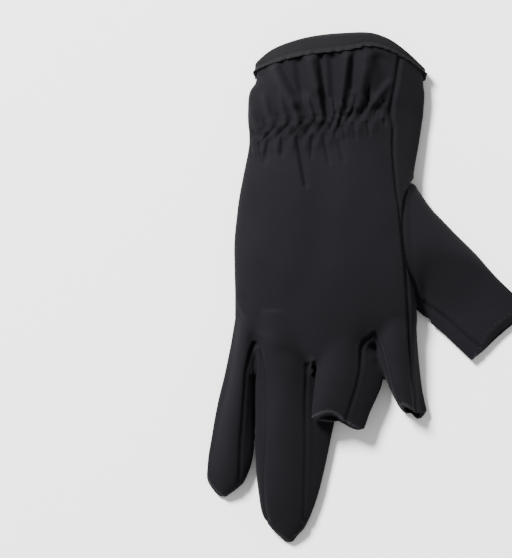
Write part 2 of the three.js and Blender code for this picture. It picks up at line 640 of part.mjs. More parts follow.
// Cuts a region out of a solid: what lies in it, and the rest set back by the seam gap.
function cut(solid, region) {
  const grownRegion = region.map((levels) => grownStack(levels, seamGap));
  return [solid.intersect(join(region.map(stack))), solid.subtract(join(grownRegion))];
}
const [thumbPanel, besideThumb] = cut(skin, thumbRegion);
const [pinkyRing, besidePinkyRing] = cut(besideThumb, pinkyRingRegion);
const [ringMiddle, besideRingMiddle] = cut(besidePinkyRing, ringMiddleRegion);
const [middleIndex, besideStrips] = cut(besideRingMiddle, middleIndexRegion);
const [backPanel, palmPanel] = cut(besideStrips, backRegion);

// Tape folded over the rim of the cuff. Its profile runs round the outer leg, the fold and the inner leg:
// how deep each point lies below the outer skin, and how far down from the rim.
const near = bindingClearance;
const far = bindingClearance + bindingCloth;
const fold = -foldClearance;
const outerFold = -foldClearance - bindingCloth;
const tapeProfile = [
  [-near, fold], [cloth + near, fold], [cloth + near, bindingWidth], [cloth + far, bindingWidth],
  [cloth + far, fold], [cloth + near, outerFold], [-near, outerFold], [-far, fold],
  [-far, bindingWidth], [-near, bindingWidth],
];
const tapeRings = tapeProfile.map(([inset, down]) => {
  const share = Math.max(down, 0) / handLength;
  return tubeRing(hand, hollowAims, share, { inset, reach: Math.min(down, 0) });
});
const binding = loftSolid(tapeRings, true);

const panels = [
  ['back_panel', backPanel, clothLook],
  ['palm_panel', palmPanel, clothLook],
  ['thumb_panel', thumbPanel, clothLook],
  ['fourchette_pinky_ring', pinkyRing, clothLook],
  ['fourchette_ring_middle', ringMiddle, clothLook],
  ['fourchette_middle_index', middleIndex, clothLook],
  ['wrist_binding', binding, tapeLook],
];

// The origin is on the table, in the middle of the part's footprint.
const { min, max } = join([skin, binding]).boundingBox();
const toOrigin = [-(min[0] + max[0]) / 2, -(min[1] + max[1]) / 2, -min[2]];

// A mesh of the largest body of a solid, without the crumbs that a cut can leave.
function meshOf([name, solid, look]) {
  const largest = solid.decompose().reduce((most, body) => (body.volume() > most.volume() ? body : most));
  const { vertProperties, triVerts, numProp } = largest.simplify(smoothWithin).translate(toOrigin).getMesh();
  const geometry = new THREE.BufferGeometry();
  geometry.setAttribute('position', new THREE.BufferAttribute(vertProperties, numProp));
  geometry.setIndex(new THREE.BufferAttribute(triVerts, 1));
  const mesh = new THREE.Mesh(geometry, new THREE.MeshStandardMaterial(look));
  mesh.name = name;
  return mesh;
}

const glove = new THREE.Group();
glove.name = 'fishing_glove';
glove.add(...panels.map(meshOf));
export default glove;
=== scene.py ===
# A right-hand fishing glove of soft foam cloth, lying palm down on a pale floor. The thumb, index and
# middle fingers are cut short and open, the ring and little fingers are full length, and an elastic
# gathers the back of the wrist. Shapes are worked out in millimetres and become metres in the meshes.
import math

import bmesh
import bpy
import numpy as np
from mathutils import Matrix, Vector
from mathutils.bvhtree import BVHTree
from mathutils.kdtree import KDTree
from mathutils.geometry import tessellate_polygon


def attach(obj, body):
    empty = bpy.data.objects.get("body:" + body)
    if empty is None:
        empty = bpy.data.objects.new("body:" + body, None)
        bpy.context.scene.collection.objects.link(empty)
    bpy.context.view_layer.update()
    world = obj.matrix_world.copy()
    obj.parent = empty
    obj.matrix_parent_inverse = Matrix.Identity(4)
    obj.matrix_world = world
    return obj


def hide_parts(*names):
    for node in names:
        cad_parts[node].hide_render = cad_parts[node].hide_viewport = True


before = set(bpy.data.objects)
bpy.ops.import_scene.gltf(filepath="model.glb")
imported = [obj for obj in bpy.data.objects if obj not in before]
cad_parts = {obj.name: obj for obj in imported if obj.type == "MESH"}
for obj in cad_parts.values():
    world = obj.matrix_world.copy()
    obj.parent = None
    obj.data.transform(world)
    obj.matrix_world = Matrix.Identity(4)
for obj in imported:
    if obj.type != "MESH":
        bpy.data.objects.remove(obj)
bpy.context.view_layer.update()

MM = 0.001

# Sizes in millimetres
CLOTH = 2.0  # one layer of foam cloth
SEAM_GAP = 0.06  # slit along every seam, as narrow as keeps the panels apart
HAND_WIDTH = 90
HAND_LENGTH = 160
HAND_RISE = 25
SEAM_RISE = 3.5  # height of the seam between back and palm on the little finger's side
OUTER_SEAM_RISE = 12  # the same seam from the middle finger outwards
MIDDLE_STRIP_RISE = 8.5  # where the strip beside the middle finger begins
THUMB_SLANT = (3, 11)  # the thumb's base seam leans over between these heights
STRIP_UNDER_MIDDLE = 3  # the strip between ring and middle finger goes this far under the middle finger,
STRIP_BESIDE_MIDDLE = 0.6  # stops this far short of its side,
STRIP_PAST_RING = 4  # and reaches this far past the ring finger
TAPE_HOLDS = 6.4  # the tape holds the cloth flat this far from the rim
CENTRE = np.array([-20.85, 127.5, 0.0])  # from the middle of the cuff's rim to the middle of the footprint
PRINT_RISE = 0.3  # the cloth stands this far off the table on its grip print

PAST_RIM = 6.0  # the hollow runs on this far past the cuff's rim,
PAST_END = 5.0  # and this far past an open end
CLOSED_AT = 0.95  # it ends at this share of a closed finger

VOXEL = 0.62  # grid of the outer skin
HOLLOW_VOXEL = 1.5  # grid of the inside, which shows at the open ends only
ROUNDING = 1.5  # corners are rounded this many times as widely as the tables say

# The hand, the fingers and the thumb are tubes. A root is in shares of the hand's width and length, sections
# are in shares of the tube's own length, width and rise. A pair is for the left and the right side.
SECTION_COLUMNS = ("along", "left", "corner_left", "corner_right", "right", "rise", "base")
HAND = dict(
    root=(0, 0), swing=0, length=HAND_LENGTH, width=HAND_WIDTH, rise=HAND_RISE, soft=2.2,
    shoulder=(0.68, 0.8), edge=(0.3, 0.3), inset=(0.06, 0.05),
    sections=[
        (0.0, -0.378, -0.29, 0.42, 0.533, 0.84, 0.05), (0.05, -0.388, -0.3, 0.412, 0.54, 0.84, 0.05),
        (0.1, -0.42, -0.33, 0.395, 0.545, 0.86, 0.01), (0.19, -0.432, -0.35, 0.372, 0.54, 0.86, 0),
        (0.26, -0.433, -0.35, 0.358, 0.536, 0.82, 0), (0.34, -0.425, -0.34, 0.371, 0.518, 0.82, 0),
        (0.45, -0.46, -0.38, 0.384, 0.482, 0.92, 0), (0.55, -0.49, -0.4, 0.405, 0.454, 0.98, 0),
        (0.65, -0.508, -0.42, 0.424, 0.452, 1.0, 0), (0.75, -0.51, -0.42, 0.438, 0.465, 1.0, 0),
        (0.86, -0.506, -0.42, 0.452, 0.49, 0.93, 0), (0.93, -0.505, -0.42, 0.457, 0.5, 0.84, 0),
        (0.97, -0.505, -0.41, 0.455, 0.5, 0.74, 0), (1.0, -0.5, -0.4, 0.44, 0.49, 0.55, 0),
    ],
    lines=[
        dict(start_from=-1, start=-1, end=0.05, end_to=0.28, rows=[
            (-0.39, 0.088, 0.115), (-0.35, 0.07, 0.1), (-0.3, 0.052, 0.085), (-0.2, 0.035, 0.068),
            (-0.07, 0.022, 0.058), (0.13, 0.015, 0.055), (0.25, 0.013, 0.058), (0.33, 0.024, 0.066),
            (0.4, 0.046, 0.078), (0.47, 0.078, 0.095), (0.54, 0.12, 0.12),
        ]),
        dict(start_from=0.05, start=0.28, end=0.34, end_to=0.5, rows=[
            (-0.42, 0.035, 0), (-0.27, 0.015, 0), (-0.1, 0.006, 0), (0.03, -0.006, 0), (0.1, -0.03, 0),
            (0.16, -0.05, 0), (0.23, -0.062, 0), (0.3, -0.058, 0), (0.38, -0.04, 0), (0.54, 0, 0),
        ]),
        dict(start_from=0.75, start=0.97, end=2, end_to=3, rows=[
            (-0.51, -0.08, -0.08), (-0.389, -0.012, -0.012), (-0.2, 0.01, 0.01), (-0.06, 0.045, 0.045),
            (0.1, 0.02, 0.02), (0.244, -0.03, -0.03), (0.5, -0.06, -0.06),
        ]),
    ],
)
PINKY = dict(
    root=(-0.433, 0.869), swing=-7.6, length=93.5, width=24, rise=15, soft=1.2,
    shoulder=(0.74, 0.88), edge=(0.34, 0.32), inset=(0.1, 0.1),
    sections=[
        (0.0, -0.25, -0.12, 0.13, 0.27, 0.86, 0), (0.1, -0.256, -0.12, 0.13, 0.25, 0.98, 0),
        (0.2, -0.268, -0.12, 0.125, 0.245, 1.0, 0), (0.32, -0.32, -0.15, 0.13, 0.295, 1.0, 0),
        (0.48, -0.375, -0.18, 0.17, 0.375, 0.98, 0), (0.6, -0.4, -0.21, 0.2, 0.435, 0.95, 0),
        (0.7, -0.412, -0.23, 0.22, 0.485, 0.9, 0), (0.79, -0.436, -0.26, 0.255, 0.5, 0.84, 0),
        (0.86, -0.435, -0.28, 0.28, 0.45, 0.74, 0), (0.92, -0.4, -0.26, 0.27, 0.37, 0.6, 0),
        (0.96, -0.29, -0.2, 0.16, 0.23, 0.46, 0), (1.0, -0.11, -0.07, 0.02, 0.06, 0.26, 0),
    ],
)
RING = dict(
    root=(-0.2, 0.869), swing=0, length=115.5, width=40, rise=18, soft=1.4,
    shoulder=(0.86, 0.76), edge=(0.3, 0.22), inset=(0.05, 0.07),
    sections=[
        (0.0, -0.44, -0.37, 0.24, 0.36, 1.16, 0), (0.12, -0.432, -0.36, 0.235, 0.36, 1.13, 0),
        (0.2, -0.425, -0.338, 0.22, 0.38, 1.07, 0), (0.3, -0.425, -0.31, 0.208, 0.5, 1.0, 0),
        (0.386, -0.425, -0.303, 0.196, 0.575, 0.97, 0), (0.45, -0.425, -0.305, 0.197, 0.582, 0.96, 0),
        (0.56, -0.425, -0.312, 0.198, 0.52, 0.93, 0), (0.687, -0.422, -0.335, 0.188, 0.45, 0.86, 0),
        (0.8, -0.386, -0.33, 0.18, 0.356, 0.74, 0), (0.88, -0.345, -0.3, 0.17, 0.273, 0.6, 0),
        (0.94, -0.25, -0.21, 0.13, 0.185, 0.46, 0), (0.975, -0.14, -0.11, 0.06, 0.09, 0.34, 0),
        (1.0, -0.06, -0.045, 0.02, 0.035, 0.22, 0),
    ],
)
MIDDLE = dict(
    root=(0.111, 0.869), swing=-6, length=58, width=36, rise=22, soft=1.2,
    shoulder=(0.88, 0.82), edge=(0.62, 0.3), inset=(0.3, 0.06),
    sections=[
        (0.0, -0.36, -0.3, 0.22, 0.3, 0.94, 0), (0.3, -0.335, -0.28, 0.26, 0.46, 0.96, 0.04),
        (0.45, -0.33, -0.275, 0.28, 0.6, 0.97, 0.12), (0.6, -0.325, -0.28, 0.262, 0.608, 0.97, 0.18),
        (0.7, -0.328, -0.285, 0.233, 0.565, 0.96, 0.22), (0.85, -0.333, -0.29, 0.18, 0.48, 0.94, 0.25),
        (1.0, -0.32, -0.285, 0.13, 0.42, 0.9, 0.26),
    ],
    lines=[
        dict(start_from=0.5, start=1, end=2, end_to=3, rows=[
            (-0.33, -0.07, -0.03), (-0.24, -0.1, -0.02), (-0.145, -0.124, -0.03), (-0.05, -0.13, -0.04),
            (0.04, -0.11, -0.04), (0.144, -0.068, -0.03), (0.25, -0.05, 0.0), (0.36, -0.02, 0.01),
            (0.43, -0.015, 0.0),
        ]),
    ],
)
INDEX = dict(
    root=(0.361, 0.869), swing=10, length=52, width=24, rise=19, soft=1.2,
    shoulder=(0.86, 0.84), edge=(0.36, 0.34), inset=(0.08, 0.1),
    sections=[
        (0.0, -0.47, -0.36, 0.34, 0.49, 0.94, 0), (0.15, -0.485, -0.37, 0.305, 0.46, 0.98, 0),
        (0.3, -0.45, -0.36, 0.257, 0.423, 0.99, 0), (0.45, -0.4, -0.33, 0.209, 0.398, 0.98, 0),
        (0.6, -0.375, -0.31, 0.179, 0.378, 0.95, 0), (0.75, -0.338, -0.28, 0.155, 0.366, 0.92, 0.02),
        (0.87, -0.28, -0.23, 0.138, 0.37, 0.88, 0.04), (1.0, -0.22, -0.18, 0.11, 0.385, 0.84, 0.06),
    ],
    lines=[
        dict(start_from=0.5, start=1, end=2, end_to=3, rows=[
            (-0.23, -0.12, -0.11), (-0.15, -0.11, -0.03), (-0.07, -0.1, 0.0), (0.04, -0.05, 0.0),
            (0.12, -0.03, 0.06), (0.2, -0.015, 0.078), (0.3, 0.01, 0.055), (0.39, 0.01, 0.01),
        ]),
    ],
)
THUMB = dict(
    root=(0.3, 0.559), swing=45, length=87, width=40, rise=16, soft=1.5,
    shoulder=(0.66, 0.92), edge=(0.3, 0.36), inset=(0.06, 0.08),
    sections=[
        (0.0, -0.42, -0.32, 0.3, 0.55, 0.94, 0), (0.1, -0.48, -0.36, 0.29, 0.505, 0.98, 0),
        (0.2, -0.52, -0.4, 0.28, 0.478, 1.0, 0), (0.35, -0.53, -0.41, 0.27, 0.472, 1.0, 0),
        (0.5, -0.535, -0.41, 0.26, 0.472, 0.98, 0), (0.6, -0.535, -0.403, 0.25, 0.467, 0.96, 0),
        (0.7, -0.531, -0.373, 0.24, 0.457, 0.93, 0), (0.8, -0.519, -0.358, 0.23, 0.452, 0.9, 0),
        (0.9, -0.512, -0.339, 0.22, 0.46, 0.87, 0), (1.0, -0.508, -0.33, 0.22, 0.475, 0.84, 0),
    ],
    lines=[
        dict(start_from=0.6, start=1, end=2, end_to=3, rows=[
            (-0.51, -0.028, -0.022), (-0.33, -0.045, -0.012), (-0.19, -0.06, -0.012), (0.07, -0.057, -0.005),
            (0.26, -0.053, 0.005), (0.48, -0.045, 0.016),
        ]),
    ],
)
FINGERS = (PINKY, RING, MIDDLE, INDEX)

# The thumb's base seam: across and along the hand on the back, then on the palm.
THUMB_SEAM = (
    (0.53, 0.466, 0.5, 0.46), (0.478, 0.474, 0.4, 0.48), (0.445, 0.497, 0.31, 0.53),
    (0.428, 0.538, 0.26, 0.59), (0.423, 0.59, 0.24, 0.65), (0.427, 0.65, 0.245, 0.71),
    (0.441, 0.705, 0.28, 0.765), (0.462, 0.75, 0.35, 0.81), (0.492, 0.79, 0.44, 0.833),
    (0.53, 0.84, 0.52, 0.85),
)
# The seam between back and palm on the thumb side, across and along the hand.
BACK_SEAM = (
    (0.422, 0.02), (0.4, 0.1), (0.383, 0.163), (0.367, 0.209), (0.357, 0.241), (0.361, 0.272),
    (0.372, 0.303), (0.369, 0.366), (0.383, 0.469), (0.403, 0.556), (0.42, 0.647), (0.433, 0.716),
    (0.445, 0.8), (0.455, 0.897), (0.461, 1.0), (0.472, 1.084), (0.485, 1.14), (0.49, 1.25),
)

# Folds on the back: from and to, across and along the hand, then half width and height in millimetres.
# A negative height is a valley.
FOLDS = (
    # ridges between the binding and the elastic
    (-0.3, 0.097, -0.189, 0.219, 3.0, 2.8),
    (-0.189, 0.219, -0.156, 0.291, 2.0, 2.0),
    (-0.1, 0.066, -0.056, 0.175, 2.8, 2.4),
    (-0.056, 0.175, -0.026, 0.275, 1.8, 1.4),
    (0.117, 0.053, 0.078, 0.225, 2.1, 1.9),
    (0.078, 0.225, 0.053, 0.291, 1.3, 1.2),
    (0.242, 0.041, 0.211, 0.125, 3.6, 1.6),
    (0.211, 0.125, 0.178, 0.222, 2.6, 1.6),
    (0.333, 0.169, 0.267, 0.219, 1.8, 1.1),
    (-0.339, 0.209, -0.306, 0.291, 1.8, 0.9),
    (-0.25, 0.203, -0.228, 0.287, 1.8, 1.0),
    (-0.106, 0.209, -0.078, 0.275, 1.5, 1.0),
    (0.028, 0.219, 0.033, 0.263, 1.2, 0.8),
    (0.161, 0.191, 0.128, 0.244, 1.4, 1.0),
    (-0.411, 0.247, -0.383, 0.294, 1.8, 0.7),
    # valleys between them
    (-0.033, 0.078, -0.003, 0.253, 1.8, -1.6),
    (0.033, 0.072, 0.039, 0.203, 3.2, -1.4),
    (0.15, 0.059, 0.139, 0.172, 1.4, -0.8),
    (-0.15, 0.097, -0.133, 0.184, 3.0, -1.4),
    (0.289, 0.091, 0.322, 0.147, 4.0, -1.3),
    (0.233, 0.184, 0.228, 0.228, 1.3, -0.9),
    (-0.25, 0.11, -0.17, 0.195, 2.0, -1.0),
    # creases below the elastic
    (-0.156, 0.334, -0.114, 0.472, 1.6, -1.5),
    (-0.318, 0.338, -0.339, 0.397, 1.4, -0.8),
    (-0.239, 0.328, -0.244, 0.378, 1.3, -0.8),
    (-0.078, 0.328, -0.083, 0.388, 1.3, -0.9),
    (-0.014, 0.319, 0.011, 0.403, 1.5, -1.0),
    (0.056, 0.306, 0.089, 0.397, 1.8, -0.6),
    (-0.033, 0.428, -0.044, 0.647, 10.0, -0.7),
    # at the finger roots
    (-0.478, 0.853, -0.378, 0.941, 1.5, 0.7),
    (-0.444, 0.834, -0.344, 0.922, 2.5, -0.5),
    (-0.222, 0.997, -0.111, 1.041, 3.0, -0.6),
)
# Cloth bunched up in the pits between the finger roots.
BUNCHES = (
    (-0.083, 1.028, -0.072, 1.056, 1.8, 3.0),
    (-0.389, 0.985, -0.394, 1.060, 1.8, 2.6),
    (0.246, 0.975, 0.262, 1.010, 3.0, 1.2),
)
# The thumb's own seam, along its lower edge.
THUMB_SIDE_SEAM = (
    (0.540, 0.842), (0.556, 0.850), (0.633, 0.881), (0.706, 0.916), (0.761, 0.944), (0.850, 0.984),
)
# The thumb sags towards its tip: across the thumb and down it, where that begins, in millimetres. From there
# on it loses up to a share of its height.
THUMB_BEND = ((-22, 16), (-6, 26), (10, 38), (18, 60), (24, 80))
THUMB_SAG = 0.78
SAG_LENGTH = 44  # the loss is full this far on
SAG_CURVE = 1.7  # how much quicker it is at the start
SAG_EASE = 3  # a bend this wide leads into it
SAG_ACROSS = (0.47, 0.56)  # the hand's side doesn't sag with the thumb
FLAT_RISE = 4  # nothing sags below this height
EDGE_ROUNDS = 8  # softens the thumb's edges
FOLD_GAIN = 1.6  # all folds are this many times as high as the table says
FOLD_MEET = 3  # the higher, the less two folds add up where they meet
FOLD_TAIL = 1.6  # a fold dies away over this many of its half widths
FOLDS_END = 1.2  # no folds past this share of the hand's length

# Where the skin is softened, in rounds. Then across and along the hand where that fades in, is full, begins
# to fade and ends, and the heights where it fades in.
SOFTER = (
    (54, (-9, -8, 0.48, 0.53), (0.86, 0.92, 1.02, 1.08), (6, 12)),  # the step between hand and fingers
    (40, (0.4, 0.46, 0.56, 0.64), (0.5, 0.58, 0.72, 0.8), (3, 6)),  # the hollow between hand and thumb
)
RIPPLE_RISE = 0.22  # how uneven the cloth lies

# Puckers that the elastic draws up: the lower and the upper end of each, across and along the hand.
PUCKERS = (
    (-0.422, 0.353, -0.389, 0.331), (-0.378, 0.341, -0.326, 0.305), (-0.311, 0.332, -0.252, 0.288),
    (-0.229, 0.328, -0.182, 0.288), (-0.144, 0.326, -0.111, 0.282), (-0.074, 0.322, -0.044, 0.276),
    (-0.007, 0.313, 0.011, 0.280), (0.044, 0.305, 0.063, 0.268), (0.085, 0.288, 0.115, 0.247),
    (0.141, 0.280, 0.171, 0.234), (0.218, 0.276, 0.241, 0.226), (0.315, 0.268, 0.322, 0.228),
)
PUCKER_WIDTH = 1.5  # half width of a pucker
PUCKER_RISE = 1.15
CREASE_WIDTH = 0.55  # between two puckers
CREASE_DEPTH = -0.5
NICK_WIDTH = 0.75  # the crease that runs on from each pucker, below and above the elastic
NICK_DEPTH = -0.75
NICK_LENGTH = 5.0
NICK_LEAN = (0.006, 0.012)  # it begins and ends this far to one side, in hand widths
TONGUE_WIDTH = 2.0  # the soft swelling between two of those
TONGUE_RISE = 0.9
BAND_DEPTH = 0.9  # the elastic draws the cloth in by this much
BAND_REACH = 4.0  # over this far above and below its line
BAND_END = (0.33, 0.4)  # across the hand, where the elastic ends

# Tape folded over the rim: its width on the back, across the hand, in millimetres.
TAPE_WIDTH = (
    (-0.4, 1.4), (-0.37, 3.6), (-0.3, 6.2), (-0.2, 7.3), (0.0, 7.5), (0.11, 7.0), (0.2, 5.4), (0.3, 5.1),
    (0.4, 4.2), (0.47, 2.8), (0.54, 1.6),
)
PALM_TAPE_WIDTH = 8.0
TAPE_CLOTH = 0.7
TAPE_OFF = 0.1  # it lies this close to the cloth
TAPE_FOLD = 1.7  # and stands out past the rim by this much
TAPE_FLARE = 0.3  # its lower edge stands off the cloth by this much,
RUFFLE = 0.3  # and waves by this much
RUFFLE_PITCH = 4.5
STITCH_PITCH = 2.25
STITCH_LENGTH = 1.5
STITCH_SINK = 0.22  # the stitches draw the tape in by this much
STITCH_UP = 2.2  # and run this far above its lower edge
THREAD = 0.3  # drawn thicker than the real 0.2, so that it shows
HEM_UP = 1.3  # the hem's stitches run this far from an open end
HEM_PITCH = 3.0
CUT_EDGE_REACH = 0.7  # the foam's pale cut edge shows this far round an open end

DOT_PITCH = 4.4
DOT_RADIUS = 1.3
DOT_REST = 2.6  # the cloth has to be flat this far round a dot
PRINT_MIDDLE = (0.0, 0.72)  # the printed oval, across and along the hand
PRINT_HALF = (25, 32)

SEAM_DEPTH = 1.0  # a seam pulls the cloth in by this much
SEAM_REACH = 1.15  # over this far to either side
SEAM_PUFF = 0.2  # and the cloth stands up beside it
PUFF_AT = 2.4  # most at this distance,
PUFF_REACH = 1.2  # and over this far to either side
NOT_OWN = 0.02  # a point this far off the skin's own points was made by a cut
FINGER_SEAMS = 0.5  # the seams along the fingers pull this much of that


# Tubes
def smooth_column(rows, column, t):
    """Value of a table's column at t: a smooth curve through the rows."""
    table = np.array(rows, float)
    places, values = table[:, 0], table[:, column]
    last = len(places) - 1
    t = np.asarray(t, float)
    i = np.clip(np.searchsorted(places, t, side="right") - 1, 0, last - 1)
    before = np.maximum(np.arange(last + 1) - 1, 0)
    after = np.minimum(np.arange(last + 1) + 1, last)
    tangent = (values[after] - values[before]) / (places[after] - places[before])
    span = places[i + 1] - places[i]
    u = np.clip((t - places[i]) / span, 0, 1)
    rest = 1 - u
    return (
        values[i] * (1 + 2 * u) * rest**2
        + tangent[i] * span * u * rest**2
        + values[i + 1] * u * u * (3 - 2 * u)
        - tangent[i + 1] * span * rest * u * u
    )


def section_at(tube, shares):
    """A tube's cross-sections at shares of its length, as columns of millimetres."""
    row = {name: smooth_column(tube["sections"], k, shares) for k, name in enumerate(SECTION_COLUMNS)}
    width = tube["width"]
    base = np.maximum(row["base"], 0) * tube["rise"]
    rise = row["rise"] * tube["rise"]
    span = (row["right"] - row["left"]) * width
    section = dict(
        base=base,
        rise=rise,
        centre=(row["left"] + row["right"]) / 2 * width,
        middle=base + 0.45 * (rise - base),  # rays leave from here
        soft=np.minimum(tube["soft"] * ROUNDING, 0.13 * (rise - base)),
    )
    for k, side in enumerate(("left", "right")):
        section[side] = row[side] * width
        section["corner_" + side] = row["corner_" + side] * width
        section["shoulder_" + side] = base + tube["shoulder"][k] * (rise - base)
        section["edge_" + side] = base + tube["edge"][k] * (rise - base)
        inset = np.minimum(tube["inset"][k] * width, 0.4 * span)
        section["bottom_" + side] = section[side] + (inset if side == "left" else -inset)
    return {name: np.atleast_1d(value)[:, None] for name, value in section.items()}


def section_field(s, x, z):
    """Distance outside the sections' outlines, negative inside them."""

    def outside(ax, az, bx, bz):
        return ((z - az) * (bx - ax) - (x - ax) * (bz - az)) / np.hypot(bx - ax, bz - az)

    mid = (s["corner_left"] + s["corner_right"]) / 2
    half = (s["corner_right"] - s["corner_left"]) / 2
    u = np.clip((x - mid) / half, -1.15, 1.15)
    lean = s["shoulder_right"] - s["shoulder_left"]
    chord = (s["shoulder_left"] + s["shoulder_right"] + lean * u) / 2
    crown = s["rise"] - (s["shoulder_left"] + s["shoulder_right"]) / 2
    faces = (
        z - chord - crown * (1 - u * u),
        outside(s["left"], s["edge_left"], s["corner_left"], s["shoulder_left"]),
        outside(s["corner_right"], s["shoulder_right"], s["right"], s["edge_right"]),
        outside(s["right"], s["edge_right"], s["bottom_right"], s["base"]),
        s["base"] - z,
        outside(s["bottom_left"], s["base"], s["left"], s["edge_left"]),
    )
    return s["soft"] * np.log(sum(np.exp(np.minimum(face / s["soft"], 60)) for face in faces))


def section_point(s, aims, inset):
    """Where rays from the sections' middles towards the aims leave them, inset inside."""
    reach_x = (s["right"] - s["left"]) / 2 * aims[:, 0]
    reach_z = (s["rise"] - s["base"]) / 2 * aims[:, 1]
    low = np.zeros_like(reach_x)
    high = np.full_like(reach_x, 3.0)
    for _ in range(22):
        at = (low + high) / 2
        inside = section_field(s, s["centre"] + reach_x * at, s["middle"] + reach_z * at) < -inset
        low = np.where(inside, at, low)
        high = np.where(inside, high, at)
    return s["centre"] + reach_x * low, s["middle"] + reach_z * low


def section_ring(s, aims, inset):
    """The points round the sections, stretched so that rounding keeps their full width and rise."""
    xs, zs = section_point(s, aims_round(40, 10, 20), 0)
    min_x, max_x = xs.min(axis=1, keepdims=True), xs.max(axis=1, keepdims=True)
    min_z, max_z = zs.min(axis=1, keepdims=True), zs.max(axis=1, keepdims=True)
    x, z = section_point(s, aims, inset)
    x = s["left"] + (x - min_x) / (max_x - min_x) * (s["right"] - s["left"])
    z = s["base"] + (z - min_z) / (max_z - min_z) * (s["rise"] - s["base"])
    return x, np.maximum(z, s["base"] + inset)


def aims_round(top, side, bottom):
    """Directions round a section, evenly spaced on its top and underside."""
    aims = [(-1 + 2 * k / top, 1) for k in range(top)]
    aims += [(1, 1 - 2 * k / side) for k in range(side)]
    aims += [(1 - 2 * k / bottom, -1) for k in range(bottom)]
    aims += [(-1, -1 + 2 * k / side) for k in range(side)]
    return np.array(aims, float)


def line_shift(tube, share, across, low):
    """How far the tube's lines shift a ring along it, between its top and underside."""
    total = np.zeros_like(across)
    for line in tube.get("lines", ()):
        up = np.clip((share - line["start_from"]) / ((line["start"] - line["start_from"]) or 1), 0, 1)
        down = np.clip((line["end_to"] - share) / (line["end_to"] - line["end"]), 0, 1)
        on_top, below = (smooth_column(line["rows"], column, across) for column in (1, 2))
        shift = on_top * (1 - low) + below * low
        total = total + shift * np.minimum(up, down)
    return total


def placed(tube, x, down, z):
    """A point in the tube's own x (across), down (along) and z, in the object's frame."""
    turn = math.radians(tube["swing"])
    return np.stack(
        [
            CENTRE[0] + tube["root"][0] * HAND_WIDTH + x * math.cos(turn) + down * math.sin(turn),
            CENTRE[1] - tube["root"][1] * HAND_LENGTH + x * math.sin(turn) - down * math.cos(turn),
            z + np.zeros_like(x),
        ],
        axis=-1,
    )


def tube_rings(tube, aims, shares, inset=0.0, reach=0.0):
    """Rings of a tube, set in from the outer skin and moved along it by reach."""
    shares = np.asarray(shares, float)
    s = section_at(tube, shares)
    skin_x, skin_z = section_ring(s, aims, 0)
    x, z = section_ring(s, aims, inset) if inset else (skin_x, skin_z)
    low = 1 - (skin_z - s["base"]) / (s["rise"] - s["base"])
    along = shares[:, None] + line_shift(tube, shares[:, None], skin_x / tube["width"], low)
    return placed(tube, x, along * tube["length"] + np.reshape(reach, (-1, 1)), z)


# Meshes
def object_of(name, points, faces):
    """A Blender object from points in millimetres."""
    mesh = bpy.data.meshes.new(name)
    mesh.from_pydata((np.asarray(points) * MM).tolist(), [], faces)
    mesh.update()
    return linked(name, mesh)


def linked(name, mesh):
    made = bpy.data.objects.new(name, mesh)
    bpy.context.collection.objects.link(made)
    return made


def discard(*objects):
    for item in objects:
        mesh = item.data
        bpy.data.objects.remove(item)
        bpy.data.meshes.remove(mesh)


def baked(item):
    """A plain mesh of an object with its modifiers applied."""
    graph = bpy.context.evaluated_depsgraph_get()
    return bpy.data.meshes.new_from_object(item.evaluated_get(graph))


def read_points(mesh, what):
    flat = np.empty(len(mesh.vertices) * 3, np.float32)
    mesh.vertices.foreach_get(what, flat)
    return flat.reshape(-1, 3).astype(float)


def points_of(mesh):
    return read_points(mesh, "co") / MM


def set_points(mesh, points):
    mesh.vertices.foreach_set("co", (points * MM).astype(np.float32).ravel())
    mesh.update()


def normals_of(mesh):
    return read_points(mesh, "normal")


def side_faces(count, round_, looped=False):
    """Faces between rings of points."""
    k = np.arange(round_)
    after = (k + 1) % round_
    faces = []
    for i in range(count if looped else count - 1):
        here, there = i * round_, (i + 1) % count * round_
        faces += np.stack([here + k, here + after, there + after, there + k], axis=1).tolist()
    return faces


def loft_faces(rings, looped=False):
    """Faces that join rings of points, and the closing fans' two middle points where it isn't looped."""
    count, round_ = rings.shape[:2]
    points = rings.reshape(-1, 3)
    faces = side_faces(count, round_, looped)
    if not looped:
        k = np.arange(round_)
        after = (k + 1) % round_
        middles = np.stack([rings[0].mean(axis=0), rings[-1].mean(axis=0)])
        final = (count - 1) * round_
        first, last = len(points), len(points) + 1
        points = np.concatenate([points, middles])
        faces += np.stack([np.full(round_, first), after, k], axis=1).tolist()
        faces += np.stack([np.full(round_, last), final + k, final + after], axis=1).tolist()
    return points, faces


def outward(mesh):
    """Turns a closed mesh's faces outwards."""
    work = bmesh.new()
    work.from_mesh(mesh)
    bmesh.ops.recalc_face_normals(work, faces=work.faces)
    work.to_mesh(mesh)
    work.free()
    mesh.update()
    return mesh


def remeshed(name, tubes, voxel):
    """One closed even mesh round overlapping tubes."""
    points, faces = [], []
    for rings in tubes:
        p, f = loft_faces(rings)
        start = sum(len(q) for q in points)
        points.append(p)
        faces += [[v + start for v in face] for face in f]
    raw = object_of(name, np.concatenate(points), faces)
    outward(raw.data)
    remesh = raw.modifiers.new("even", "REMESH")
    remesh.mode = "VOXEL"
    remesh.voxel_size = voxel * MM
    mesh = baked(raw)
    discard(raw)
    return mesh


def boolean(mesh, cutter, operation):
    """A new mesh: mesh and cutter combined."""
    a, b = linked("solid", mesh), linked("cutter", cutter)
    step = a.modifiers.new("step", "BOOLEAN")
    step.operation = operation
    step.object = b
    step.solver = "MANIFOLD"
    made = baked(a)
    bpy.data.objects.remove(a)
    bpy.data.objects.remove(b)
    return made


